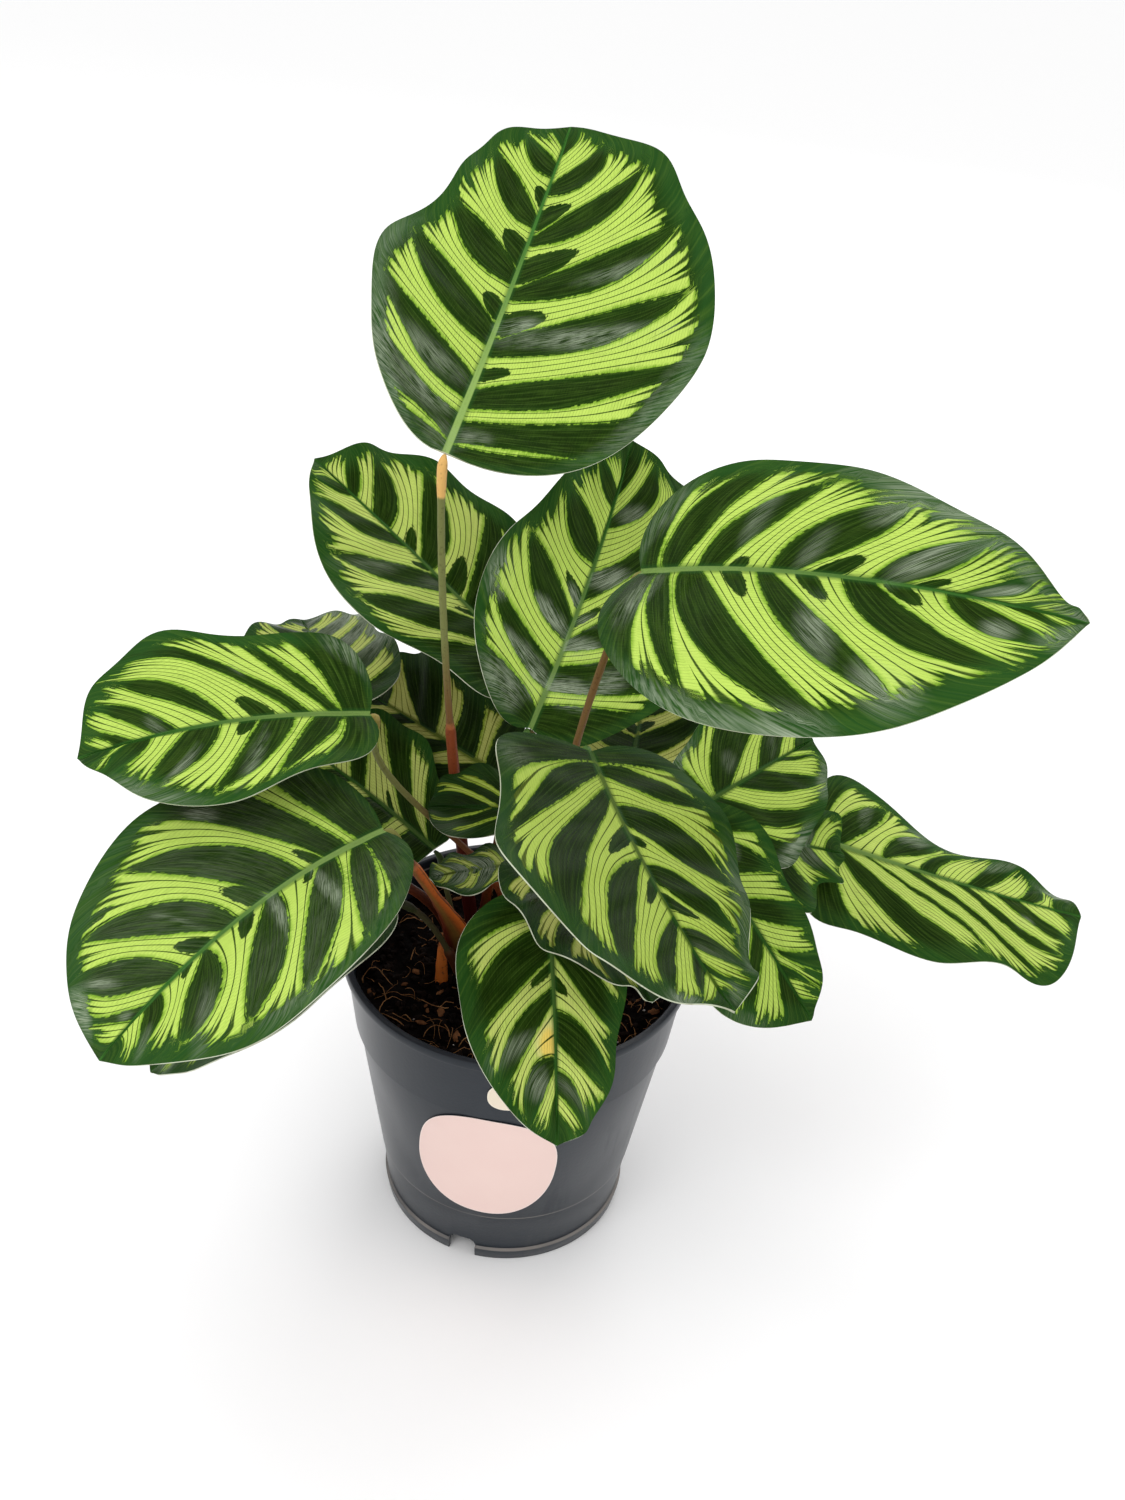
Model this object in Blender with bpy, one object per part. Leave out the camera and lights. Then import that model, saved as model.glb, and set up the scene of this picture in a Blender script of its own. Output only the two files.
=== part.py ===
"""Peacock plant (Goeppertia makoyana) standing in a round plastic nursery pot.

Every leaf blade, leaf stalk, the pot, the soil, the two stickers and the bare bud sheath is a closed
solid of its own. Lengths are in millimetres until a mesh is made, when they are scaled to metres.
The origin is the middle of the pot's flat base, +Z is up and -Y is the front.
"""

import math
from dataclasses import dataclass

import bmesh
import bpy
import numpy as np

MM = 0.001
GAP = 0.3

# Pot: a 12 cm nursery pot with a collar, a stacking ring and a drained, notched foot
POT_HEIGHT = 109.0
POT_TOP_RADIUS = 60.0
POT_BASE_RADIUS = 44.0
POT_SEGMENTS = 48
WALL_INSET = 2.7
LIP_DROP = 3.6
COLLAR_BOTTOM = 81.0
RING_HEIGHT = 24.0
FOOT_HEIGHT = 5.0
COLLAR_INSET, BODY_INSET, LOWER_INSET = 0.8, 1.2, 1.5
PLINTH_RADIUS = 27.0
DRAIN_CEILING = 10.0
FLOOR_THICKNESS = 2.2
DRAIN_HOLES = 8
DRAIN_HOLE_RADIUS = 3.0
DRAIN_RING_RADIUS = 35.0
NOTCHES = 3
NOTCH_WIDTH, NOTCH_TOP = 10.0, 8.5
FIRST_NOTCH_AZIMUTH = -107.0

# Soil: fills the pot to a little under the rim, with a plain hole for every stalk
SOIL_TOP = 97.0
SOIL_ROUGHNESS = 1.6
STALK_FOOT = 88.0
GROUND = 99.5
SOIL_RINGS = (0.16, 0.34, 0.52, 0.70, 0.86)

# Leaves
BLADE_THICKNESS = 0.8
MIDRIB_THICKNESS = 2.0
BASE_LOBE = 0.06
TIP_LENGTH = 0.02
VEIN_SWEEP = 0.65
LARGE_LEAF = 84.0

# Stalks
STALK_RADIUS = 1.15
SHEATH_RADIUS = 2.5
JOINT_RADIUS = 1.5
JOINT_LENGTH = 3.0
JOINT_GAP = 0.4
STALK_SIDES = 6
STALK_RINGS = 8
HOLE_CLEARANCE = 0.35


@dataclass(frozen=True)
class Leaf:
    """One leaf: a blade on its own stalk.

    base is where blade and stalk meet. heading is the compass direction of the midrib, from +X towards
    +Y, pitch its climb and roll the turn of the blade about it, in degrees. left and right are the half
    widths at every sixth of the midrib, seen from the base with the upper face up. droop and sweep bend
    the midrib down and sideways, fold lifts the two halves, twist winds them and cup curls them down.
    ripple, ripples and phase describe the waved margin. root is the stalk's place in the soil. rise and
    fall are the stalk curve's handles, measured from the soil and from the blade; a stalk without its
    own handles rises nearly straight.
    """

    name: str
    base: tuple
    heading: float
    pitch: float
    roll: float
    length: float
    left: tuple
    right: tuple
    droop: float
    sweep: float
    fold: float
    twist: float
    cup: float
    ripple: float
    ripples: float
    phase: float
    root: tuple
    rise: tuple = ()
    fall: tuple = ()


LEAVES = (
    Leaf("leaf_crown", (-31, 14, 280), 75, 32, 11, 137, (21, 37, 42, 29, 22), (35, 58, 67, 53, 33),
         droop=-15, sweep=0, fold=16, twist=28, cup=0.05, ripple=1.2, ripples=4, phase=57,
         root=(-17, 21), rise=(-7, -2, 50), fall=(0, 5, -62)),
    Leaf("leaf_rear_left", (-1, 55, 185), 158, 35, -14, 106, (22, 29, 39, 33, 15), (21, 34, 40, 33, 20),
         droop=5, sweep=0, fold=10, twist=0, cup=0.10, ripple=1.7, ripples=3.7, phase=29,
         root=(-5, 38)),
    Leaf("leaf_rear_middle", (-1, 24, 182), 69, 43, 42, 110, (19, 37, 36, 23, 12), (22, 41, 43, 37, 26),
         droop=21, sweep=0, fold=13, twist=1, cup=0.15, ripple=2.3, ripples=4.2, phase=46,
         root=(2, 28)),
    Leaf("leaf_right_high", (27, -26, 265), 325, 13, 42, 125, (18, 32, 27, 21, 7), (26, 46, 52, 42, 20),
         droop=36, sweep=0, fold=22, twist=-12, cup=0.25, ripple=1.7, ripples=3.2, phase=92,
         root=(12, 11), rise=(-7, -6, 62), fall=(-9, 8, -41)),
    Leaf("leaf_front_broad", (17, -36, 212), 290, -5, -8, 104, (21, 26, 26, 16, 10), (30, 39, 47, 34, 22),
         droop=-16, sweep=0, fold=11, twist=-14, cup=-0.10, ripple=1.8, ripples=3.5, phase=-132,
         root=(11, 1), rise=(1, -7, 43), fall=(-3, 17, -33)),
    Leaf("leaf_front_low", (8, -38, 159), 276, -30, -16, 75, (14, 21, 22, 16, 11), (17, 30, 30, 24, 12),
         droop=13, sweep=0, fold=8, twist=2, cup=0.15, ripple=1.6, ripples=3, phase=-80,
         root=(2, -15)),
    Leaf("leaf_front_tucked", (3, -27, 164), 301, -1, -18, 69, (12, 17, 19, 17, 11), (13, 23, 25, 24, 7),
         droop=15, sweep=0, fold=8, twist=3, cup=0.20, ripple=1.7, ripples=4, phase=-75,
         root=(9, -11)),
    Leaf("leaf_left_high", (-49, -17, 208), 193, -7, -22, 87, (17, 24, 33, 26, 9), (21, 28, 30, 32, 19),
         droop=36, sweep=0, fold=13, twist=2, cup=0.10, ripple=1.2, ripples=3, phase=-92,
         root=(-10, 12), rise=(28, -8, 36), fall=(-20, 34, -50)),
    Leaf("leaf_left_broad", (-42, -40, 182), 226, -18, -8, 105, (17, 33, 41, 37, 16), (24, 38, 46, 36, 25),
         droop=49, sweep=0, fold=13, twist=-12, cup=0.05, ripple=1.6, ripples=2.3, phase=-40,
         root=(-15, -3), rise=(-6, -8, 30), fall=(10, 6, -26)),
    Leaf("leaf_left_tucked", (-42, -34, 150), 212, -26, 14, 86, (19, 29, 33, 29, 14), (19, 29, 33, 29, 18),
         droop=15, sweep=0, fold=11, twist=-3, cup=0.15, ripple=1.1, ripples=3.2, phase=-80,
         root=(-16, -12), rise=(-8, -6, 20), fall=(12, 12, -14)),
    Leaf("leaf_left_rear", (-62, 28, 183), 112, -3, -2, 72, (16, 24, 27, 26, 13), (15, 24, 24, 22, 17),
         droop=16, sweep=0, fold=11, twist=0, cup=0.10, ripple=1.3, ripples=3.6, phase=0,
         root=(-24, 12), rise=(-6, -14, 54), fall=(-42, -42, -44)),
    Leaf("leaf_rear_inner", (-11, 37, 154), 136, 0, -38, 74, (15, 26, 28, 25, 18), (22, 21, 24, 24, 18),
         droop=17, sweep=0, fold=13, twist=1, cup=0.05, ripple=1.6, ripples=3.4, phase=138,
         root=(-13, 31)),
    Leaf("leaf_left_inner", (-30.5, 8.7, 141), 142, 11, -12, 67, (26, 24, 25, 22, 15), (14, 20, 28, 29, 17),
         droop=15, sweep=0, fold=11, twist=4, cup=0.05, ripple=1.6, ripples=3.2, phase=29,
         root=(-20, 4)),
    Leaf("leaf_centre_small", (3, 3, 163), 178, -3, -23, 36, (7, 10, 13, 13, 8), (8, 13, 15, 14, 8),
         droop=15, sweep=0, fold=9, twist=1, cup=0.10, ripple=1.2, ripples=3, phase=-17,
         root=(1, 8)),
    Leaf("leaf_centre_curled", (-3, -11, 151), 194, -5, -8, 28, (6, 7, 12, 10, 5), (6, 9, 8, 6, 5),
         droop=13, sweep=0, fold=8, twist=0, cup=0.15, ripple=1.3, ripples=3, phase=-160,
         root=(-3, -2)),
    Leaf("leaf_right_inner", (53, 5, 165), 47, 1, 34, 69, (14, 21, 26, 23, 14), (15, 31, 30, 22, 14),
         droop=11, sweep=0, fold=6, twist=-1, cup=0.15, ripple=1.1, ripples=3, phase=172,
         root=(21, 14)),
    Leaf("leaf_right_front", (48, -15, 177), 310, -30, 15, 74, (13, 21, 16, 15, 7), (14, 23, 26, 26, 17),
         droop=16, sweep=0, fold=7, twist=1, cup=0.15, ripple=0.9, ripples=3.1, phase=80,
         root=(19, 1)),
    Leaf("leaf_right_tucked", (67, 18, 149), 23, -21, 36, 56, (13, 18, 19, 19, 13), (12, 17, 27, 15, 10),
         droop=16, sweep=0, fold=10, twist=-3, cup=0.10, ripple=2.4, ripples=3.1, phase=-17,
         root=(23, 24)),
    Leaf("leaf_right_far", (103, 45, 132), 353, -11, 17, 104, (27, 28, 18, 14, 13), (26, 31, 34, 29, 30),
         droop=-7, sweep=0, fold=0, twist=18, cup=0.25, ripple=2.9, ripples=2.3, phase=63,
         root=(17, 34), rise=(0, 0, 45), fall=(-26, 4, 7)),
    Leaf("leaf_rear_right", (34, 30, 157), 82, 12, -9, 67, (14, 23, 24, 21, 13), (14, 22, 25, 23, 13),
         droop=7, sweep=0, fold=3, twist=4, cup=0.20, ripple=1.9, ripples=2.7, phase=-34,
         root=(9, 22)),
)

# Bud sheath that stands bare in the soil
SHEATH_ROOT = (-25.5, -7.0)
SHEATH_TIP = (-26.0, -6.5, 117.0)
SHEATH_WIDTH = 2.3

# Stickers on the pot: azimuth of the middle, height of the middle, half width and half height
FRONT_STICKER = dict(azimuth=-97, height=53.8, half_width=24.4, half_height=26.2)
COLLAR_STICKER = dict(azimuth=-90, height=93.8, half_width=6.5, half_height=6)
STICKER_THICKNESS = 0.5
STICKER_ROWS = 5

COLOURS = {
    "blade": ((0.13, 0.30, 0.05), 0.42),
    "stalk": ((0.22, 0.20, 0.07), 0.50),
    "sheath": ((0.36, 0.13, 0.03), 0.55),
    "pot": ((0.030, 0.037, 0.046), 0.38),
    "soil": ((0.035, 0.022, 0.014), 0.95),
    "sticker": ((0.80, 0.66, 0.60), 0.55),
}


def clear_scene():
    """Remove whatever the scene starts with."""
    for item in list(bpy.data.objects):
        bpy.data.objects.remove(item)


def material(name, finish):
    """Return a Principled material in one of the named finishes."""
    colour, roughness = COLOURS[finish]
    made = bpy.data.materials.new(name)
    made.use_nodes = True
    shader = made.node_tree.nodes["Principled BSDF"]
    shader.inputs["Base Color"].default_value = (*colour, 1.0)
    shader.inputs["Roughness"].default_value = roughness
    return made


def solid(name, points, faces, finish, smooth=True):
    """Make one closed object from points in millimetres, with its faces pointing out."""
    mesh = bpy.data.meshes.new(name)
    mesh.from_pydata([tuple(float(c) * MM for c in p) for p in points], [], faces)
    work = bmesh.new()
    work.from_mesh(mesh)
    bmesh.ops.triangulate(work, faces=[f for f in work.faces if len(f.verts) > 4])
    bmesh.ops.recalc_face_normals(work, faces=work.faces)
    work.to_mesh(mesh)
    work.free()
    if smooth:
        mesh.shade_smooth()
        mesh.set_sharp_from_angle(angle=math.radians(35))
    mesh.materials.append(material(name, finish))
    made = bpy.data.objects.new(name, mesh)
    bpy.context.scene.collection.objects.link(made)
    return made


# ---------------------------------------------------------------- leaf blades

def station_curve(values, place):
    """Smooth curve through values at 0, 1, 2 ... read at place (Catmull-Rom)."""
    padded = np.concatenate([[2 * values[0] - values[1]], values, [2 * values[-1] - values[-2]]])
    step = np.clip(np.floor(place).astype(int), 0, len(values) - 2)
    f = place - step
    a, b, c, d = (padded[step + k] for k in range(4))
    return b + 0.5 * f * (c - a + f * (2 * a - 5 * b + 4 * c - d + f * (3 * (b - c) + d - a)))


def outline(widths, s):
    """Blade margin at s, from 0 at the base to 1 at the tip: place along the midrib and half width."""
    turn = np.pi * s
    back = np.clip(s / 0.42, 0, 1)
    tip = np.clip((s - 0.88) / 0.12, 0, 1)
    along = 0.5 * (1 - np.cos(turn)) - BASE_LOBE * 4 * back * (1 - back) ** 2 + TIP_LENGTH * tip ** 3
    stations = np.arange(1, len(widths) + 1) / (len(widths) + 1)
    fullness = np.array(widths) / np.sin(np.pi * stations)
    fullness = np.concatenate([fullness[:1], fullness, fullness[-1:]])
    half = np.sin(turn) * station_curve(fullness, s * (len(widths) + 1))
    return along / (1 + TIP_LENGTH), half


def axes(leaf):
    """Unit vectors of a leaf: along the midrib, to the right of it and out of the upper face."""
    heading, pitch, roll = (math.radians(v) for v in (leaf.heading, leaf.pitch, leaf.roll))
    along = np.array([math.cos(heading) * math.cos(pitch), math.sin(heading) * math.cos(pitch),
                      math.sin(pitch)])
    flat_up = np.array([-math.cos(heading) * math.sin(pitch), -math.sin(heading) * math.sin(pitch),
                        math.cos(pitch)])
    flat_right = np.cross(along, flat_up)
    up = flat_up * math.cos(roll) + flat_right * math.sin(roll)
    right = flat_right * math.cos(roll) - flat_up * math.sin(roll)
    return along, right, up


def bend(angle):
    """An angle in radians that is never quite straight, so arcs stay defined."""
    value = math.radians(angle)
    return value if abs(value) > 1e-3 else 1e-3


def blade_surface(leaf, u, v):
    """Middle surface of a blade: u follows the midrib, v runs across it from -1 to 1."""
    across, side = np.abs(v), np.sign(v)
    s = u ** VEIN_SWEEP
    left_along, left_half = outline(leaf.left, s)
    right_along, right_half = outline(leaf.right, s)
    edge = np.where(v >= 0, right_along, left_along)
    half = np.where(v >= 0, right_half, left_half)
    x = u + (edge - u) * (0.72 * across + 0.28 * across ** 3)
    wave = np.sin(2 * np.pi * leaf.ripples * u + math.radians(leaf.phase) + side * 1.1)
    wave = leaf.ripple * wave * np.sqrt(np.sin(np.pi * u))
    y = side * (half * across + 0.6 * wave * across ** 3)
    z = np.abs(y) * math.tan(math.radians(leaf.fold)) - leaf.cup * y * y / 60 + wave * across ** 2
    y = y * math.cos(math.radians(leaf.fold))
    droop, sweep = bend(leaf.droop), bend(leaf.sweep)
    rib_x = leaf.length * (np.sin(droop * (x - 0.5)) + math.sin(droop / 2)) / droop
    rib_z = leaf.length * (np.cos(droop * (x - 0.5)) - math.cos(droop / 2)) / droop
    rib_y = leaf.length * (np.cos(sweep * (x - 0.5)) - math.cos(sweep / 2)) / sweep
    turn = math.radians(leaf.twist) * (x - 0.5)
    y, z = y * np.cos(turn) - z * np.sin(turn), y * np.sin(turn) + z * np.cos(turn)
    lean = droop * (x - 0.5)
    along, right, up = axes(leaf)
    return (np.array(leaf.base, float) + (rib_x + z * np.sin(lean))[..., None] * along
            + (rib_y + y)[..., None] * right + (rib_z + z * np.cos(lean))[..., None] * up)


def blade_normals(leaf, u, v):
    """Unit normals of the middle surface, out of its upper face."""
    step = 0.002
    du = blade_surface(leaf, np.clip(u + step, 0, 1), v) - blade_surface(leaf, np.clip(u - step, 0, 1), v)
    dv = (blade_surface(leaf, u, np.clip(v + step, -1, 1))
          - blade_surface(leaf, u, np.clip(v - step, -1, 1)))
    normal = np.cross(dv, du)
    return normal / np.linalg.norm(normal, axis=-1, keepdims=True)


def blade(leaf):
    """A waved blade of even thickness with its midrib standing out below."""
    rows, columns = (13, 9) if leaf.length > LARGE_LEAF else (9, 7)
    u_values = np.arange(1, rows + 1) / (rows + 1)
    v_values = np.linspace(-1, 1, columns)
    u, v = np.meshgrid(u_values, v_values, indexing="ij")
    u = np.concatenate([u.ravel(), [0.0, 1.0]])
    v = np.concatenate([v.ravel(), [0.0, 0.0]])
    middle = blade_surface(leaf, u, v)
    inner_u = np.clip(u, 0.02, 0.98)
    normal = blade_normals(leaf, inner_u, v)
    rib = (MIDRIB_THICKNESS - BLADE_THICKNESS) * (1 - 0.7 * u) * (np.abs(v) < 1e-6)
    top = middle + normal * BLADE_THICKNESS / 2
    bottom = middle - normal * (BLADE_THICKNESS / 2 + rib)[:, None]
    count = len(middle)
    base, tip = count - 2, count - 1

    upper = []
    for i in range(rows - 1):
        for j in range(columns - 1):
            a = i * columns + j
            upper += [(a, a + 1, a + columns + 1), (a, a + columns + 1, a + columns)]
    last = (rows - 1) * columns
    for j in range(columns - 1):
        upper += [(base, j + 1, j), (tip, last + j, last + j + 1)]
    rim = ([base] + [i * columns for i in range(rows)] + [tip]
           + [i * columns + columns - 1 for i in reversed(range(rows))])
    faces = list(upper)
    faces += [tuple(k + count for k in reversed(face)) for face in upper]
    for a, b in zip(rim, rim[1:] + rim[:1]):
        faces += [(a, b, b + count), (a, b + count, a + count)]
    return solid(leaf.name, np.concatenate([top, bottom]), faces, "blade")


# ---------------------------------------------------------------- stalks

def stalk_route(leaf):
    """Points from the foot of a stalk in the soil up to the back of its blade, with directions there."""
    along, _, up = axes(leaf)
    tilt = math.radians(leaf.droop / 2)
    along, up = along * math.cos(tilt) + up * math.sin(tilt), up * math.cos(tilt) - along * math.sin(tilt)
    foot = np.array([*leaf.root, STALK_FOOT], float)
    ground = np.array([*leaf.root, GROUND], float)
    end = np.array(leaf.base, float) - along * JOINT_GAP - up * (MIDRIB_THICKNESS - BLADE_THICKNESS) / 2
    joint = end - along * JOINT_LENGTH
    span = joint - ground
    low = ground + (np.array(leaf.rise) if leaf.rise else span * np.array([0.2, 0.2, 0.38]))
    high = joint + (np.array(leaf.fall) if leaf.fall else -span * np.array([0.12, 0.12, 0.3]))
    t = np.linspace(0, 1, STALK_RINGS)[:, None]
    curve = (1 - t) ** 3 * ground + 3 * (1 - t) ** 2 * t * low + 3 * (1 - t) * t * t * high + t ** 3 * joint
    route = np.concatenate([[foot], curve, [end - along * JOINT_LENGTH / 2, end]])
    direction = np.gradient(route, axis=0)
    direction[:2] = (0, 0, 1)
    direction[-2:] = along
    return route, direction / np.linalg.norm(direction, axis=1, keepdims=True)


def stalk_radii(leaf):
    """Radius at each ring: a sheath at the foot, a slim middle and a thicker joint under the blade."""
    scale = min(1.0, math.sqrt(leaf.length / 105))
    sheath = np.clip(1 - np.arange(STALK_RINGS) / (0.6 * STALK_RINGS), 0, 1)
    middle = STALK_RADIUS + (SHEATH_RADIUS - STALK_RADIUS) * sheath
    middle[-1] = JOINT_RADIUS
    return scale * np.concatenate([[SHEATH_RADIUS], middle, [JOINT_RADIUS, STALK_RADIUS]])


def tube(route, direction, radii, sides):
    """Points and faces of a closed tube with flat ends along a route."""
    side = np.array([1.0, 0.0, 0.0])
    points = []
    for centre, ahead, radius in zip(route, direction, radii):
        side = side - ahead * (side @ ahead)
        side /= np.linalg.norm(side)
        other = np.cross(ahead, side)
        for k in range(sides):
            angle = 2 * math.pi * k / sides
            points.append(centre + radius * (side * math.cos(angle) + other * math.sin(angle)))
    faces = [tuple(reversed(range(sides))), tuple(range(len(points) - sides, len(points)))]
    for ring in range(len(route) - 1):
        for k in range(sides):
            a, b = ring * sides + k, ring * sides + (k + 1) % sides
            faces += [(a, b, b + sides), (a, b + sides, a + sides)]
    return points, faces


def stalk(leaf):
    """The stalk that carries a blade."""
    route, direction = stalk_route(leaf)
    points, faces = tube(route, direction, stalk_radii(leaf), STALK_SIDES)
    return solid(leaf.name.replace("leaf", "stalk"), points, faces, "stalk")


def bud_sheath():
    """A bare pointed sheath standing in the soil."""
    foot = np.array([*SHEATH_ROOT, STALK_FOOT])
    ground = np.array([*SHEATH_ROOT, GROUND])
    t = np.linspace(0, 1, 4)[:, None]
    route = np.concatenate([[foot], ground + (np.array(SHEATH_TIP) - ground) * t])
    direction = np.tile([0.0, 0.0, 1.0], (len(route), 1))
    radii = SHEATH_WIDTH * np.array([1.0, 1.0, 0.8, 0.5, 0.2])
    points, faces = tube(route, direction, radii, STALK_SIDES)
    return solid("bud_sheath", points, faces, "sheath")


# ---------------------------------------------------------------- pot and soil

def pot_radius(height):
    """Radius of the cone that the pot's lip and foot lie on."""
    return POT_BASE_RADIUS + (POT_TOP_RADIUS - POT_BASE_RADIUS) * height / POT_HEIGHT


def turned(name, profile, finish):
    """Turn a profile of (radius, height) points about +Z; a radius of 0 is a pole."""
    points, rings = [], []
    for radius, height in profile:
        count = 1 if radius == 0 else POT_SEGMENTS
        rings.append(range(len(points), len(points) + count))
        for k in range(count):
            angle = 2 * math.pi * k / POT_SEGMENTS
            points.append((radius * math.cos(angle), radius * math.sin(angle), height))
    faces = []
    for low, high in zip(rings, rings[1:]):
        for k in range(POT_SEGMENTS):
            a, b = low[k % len(low)], low[(k + 1) % len(low)]
            c, d = high[(k + 1) % len(high)], high[k % len(high)]
            faces.append(tuple(dict.fromkeys((a, b, c, d))))
    return solid(name, points, faces, finish)


def cutter(name, points, faces):
    """A hidden solid that a Boolean takes away."""
    made = solid(name, points, faces, "soil", smooth=False)
    made.hide_render = True
    made.display_type = "WIRE"
    return made


def take_away(target, tool):
    """Cut one solid out of another, once and for good."""
    modifier = target.modifiers.new("cut", "BOOLEAN")
    modifier.operation = "DIFFERENCE"
    modifier.object = tool
    view = bpy.context.evaluated_depsgraph_get()
    mesh = bpy.data.meshes.new_from_object(target.evaluated_get(view))
    target.modifiers.clear()
    target.data = mesh
    bpy.data.objects.remove(tool)


def prism(x, y, radius, low, high, sides, turn=0.0):
    """Points and faces of an upright prism."""
    ring = [(x + radius * math.cos(turn + 2 * math.pi * k / sides),
             y + radius * math.sin(turn + 2 * math.pi * k / sides)) for k in range(sides)]
    points = [(*p, low) for p in ring] + [(*p, high) for p in ring]
    faces = [tuple(reversed(range(sides))), tuple(range(sides, 2 * sides))]
    faces += [(k, (k + 1) % sides, sides + (k + 1) % sides, sides + k) for k in range(sides)]
    return points, faces


def joined(shapes):
    """Several point and face lists as one."""
    points, faces = [], []
    for shape_points, shape_faces in shapes:
        start = len(points)
        points += list(shape_points)
        faces += [tuple(k + start for k in face) for face in shape_faces]
    return points, faces


def notch(azimuth):
    """A block that opens the skirt at one azimuth, with its top corners cut off."""
    angle = math.radians(azimuth)
    outward = np.array([math.cos(angle), math.sin(angle), 0.0])
    sideways = np.array([-outward[1], outward[0], 0.0])
    half, shoulder = NOTCH_WIDTH / 2, NOTCH_WIDTH / 2 - 2
    section = [(-half, -1.0), (half, -1.0), (half, NOTCH_TOP - 3), (shoulder, NOTCH_TOP),
               (-shoulder, NOTCH_TOP), (-half, NOTCH_TOP - 3)]
    points = [outward * reach + sideways * across + np.array([0.0, 0.0, height])
              for reach in (36.0, 50.0) for across, height in section]
    count = len(section)
    faces = [tuple(range(count)), tuple(reversed(range(count, 2 * count)))]
    faces += [(k, k + count, (k + 1) % count + count, (k + 1) % count) for k in range(count)]
    return points, faces


def pot_outside():
    """Profile of the pot's outer wall, from the bottom of the foot to the top of the lip."""
    r = pot_radius
    return [
        (r(0), 0), (r(FOOT_HEIGHT), FOOT_HEIGHT),
        (r(FOOT_HEIGHT) - LOWER_INSET * 0.6, FOOT_HEIGHT + 0.6),
        (r(RING_HEIGHT) - LOWER_INSET, RING_HEIGHT - 0.4), (r(RING_HEIGHT) - BODY_INSET, RING_HEIGHT),
        (r(COLLAR_BOTTOM) - BODY_INSET, COLLAR_BOTTOM), (r(COLLAR_BOTTOM), COLLAR_BOTTOM + 0.8),
        (r(POT_HEIGHT - LIP_DROP) - COLLAR_INSET, POT_HEIGHT - LIP_DROP),
        (POT_TOP_RADIUS, POT_HEIGHT - LIP_DROP + 0.8), (POT_TOP_RADIUS, POT_HEIGHT - 0.5),
        (POT_TOP_RADIUS - 0.6, POT_HEIGHT),
    ]


def pot():
    """The pot: collar, body and foot as one moulding, on a central plinth with a drained channel."""
    r = pot_radius
    skirt = r(0) - 2.0
    floor = DRAIN_CEILING + FLOOR_THICKNESS
    below = [
        (0, 0), (PLINTH_RADIUS, 0), (PLINTH_RADIUS + 0.6, DRAIN_CEILING), (skirt, DRAIN_CEILING),
        (skirt, 0),
    ]
    inner = [
        (r(POT_HEIGHT) - WALL_INSET, POT_HEIGHT), (r(floor) - WALL_INSET - 0.2, floor),
        (PLINTH_RADIUS - 1.6, floor), (PLINTH_RADIUS - 2.2, FLOOR_THICKNESS), (0, FLOOR_THICKNESS),
    ]
    made = turned("pot", below + pot_outside() + inner, "pot")
    step = 360 / NOTCHES
    shapes = [notch(FIRST_NOTCH_AZIMUTH + k * step) for k in range(NOTCHES)]
    for k in range(DRAIN_HOLES):
        angle = 2 * math.pi * (k + 0.5) / DRAIN_HOLES
        x, y = DRAIN_RING_RADIUS * math.cos(angle), DRAIN_RING_RADIUS * math.sin(angle)
        shapes.append(prism(x, y, DRAIN_HOLE_RADIUS, DRAIN_CEILING - 1, floor + 1, 8))
    take_away(made, cutter("pot_cutter", *joined(shapes)))
    return made


def soil_height(x, y):
    """Uneven top of the soil, a little higher round the stalks."""
    lumps = math.sin(0.21 * x + 1.3) * math.cos(0.17 * y - 0.6) + 0.6 * math.sin(0.33 * (x + y))
    mound = 2.0 * math.exp(-((x + 3) ** 2 + (y - 12) ** 2) / 900)
    return SOIL_TOP + SOIL_ROUGHNESS * lumps * 0.6 + mound - 1.0


def soil():
    """Soil that fills the pot, plinth and all, with a plain hole for each stalk and the sheath."""
    floor = DRAIN_CEILING + FLOOR_THICKNESS + GAP
    wall = pot_radius(floor) - WALL_INSET - 0.2 - GAP
    brim = pot_radius(SOIL_TOP) - WALL_INSET - GAP
    profile = [(0, FLOOR_THICKNESS + GAP), (PLINTH_RADIUS - 2.2 - GAP, FLOOR_THICKNESS + GAP),
               (PLINTH_RADIUS - 1.6 - GAP, floor), (wall, floor), (brim, SOIL_TOP)]
    profile += [(brim * share, SOIL_TOP) for share in reversed(SOIL_RINGS)]
    profile.append((0, SOIL_TOP))
    made = turned("soil", profile, "soil")
    for vertex in made.data.vertices:
        x, y, z = (c / MM for c in vertex.co)
        if z > SOIL_TOP - 1 and math.hypot(x, y) < brim - 1:
            vertex.co.z = soil_height(x, y) * MM
    clearance = HOLE_CLEARANCE / math.cos(math.pi / STALK_SIDES)
    shapes = []
    for leaf in LEAVES:
        radius = stalk_radii(leaf)[0] + clearance
        shapes.append(prism(*leaf.root, radius, STALK_FOOT - GAP, SOIL_TOP + 8, STALK_SIDES))
    shapes.append(prism(*SHEATH_ROOT, SHEATH_WIDTH + clearance, STALK_FOOT - GAP, SOIL_TOP + 8, STALK_SIDES))
    take_away(made, cutter("soil_cutter", *joined(shapes)))
    return made


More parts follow.
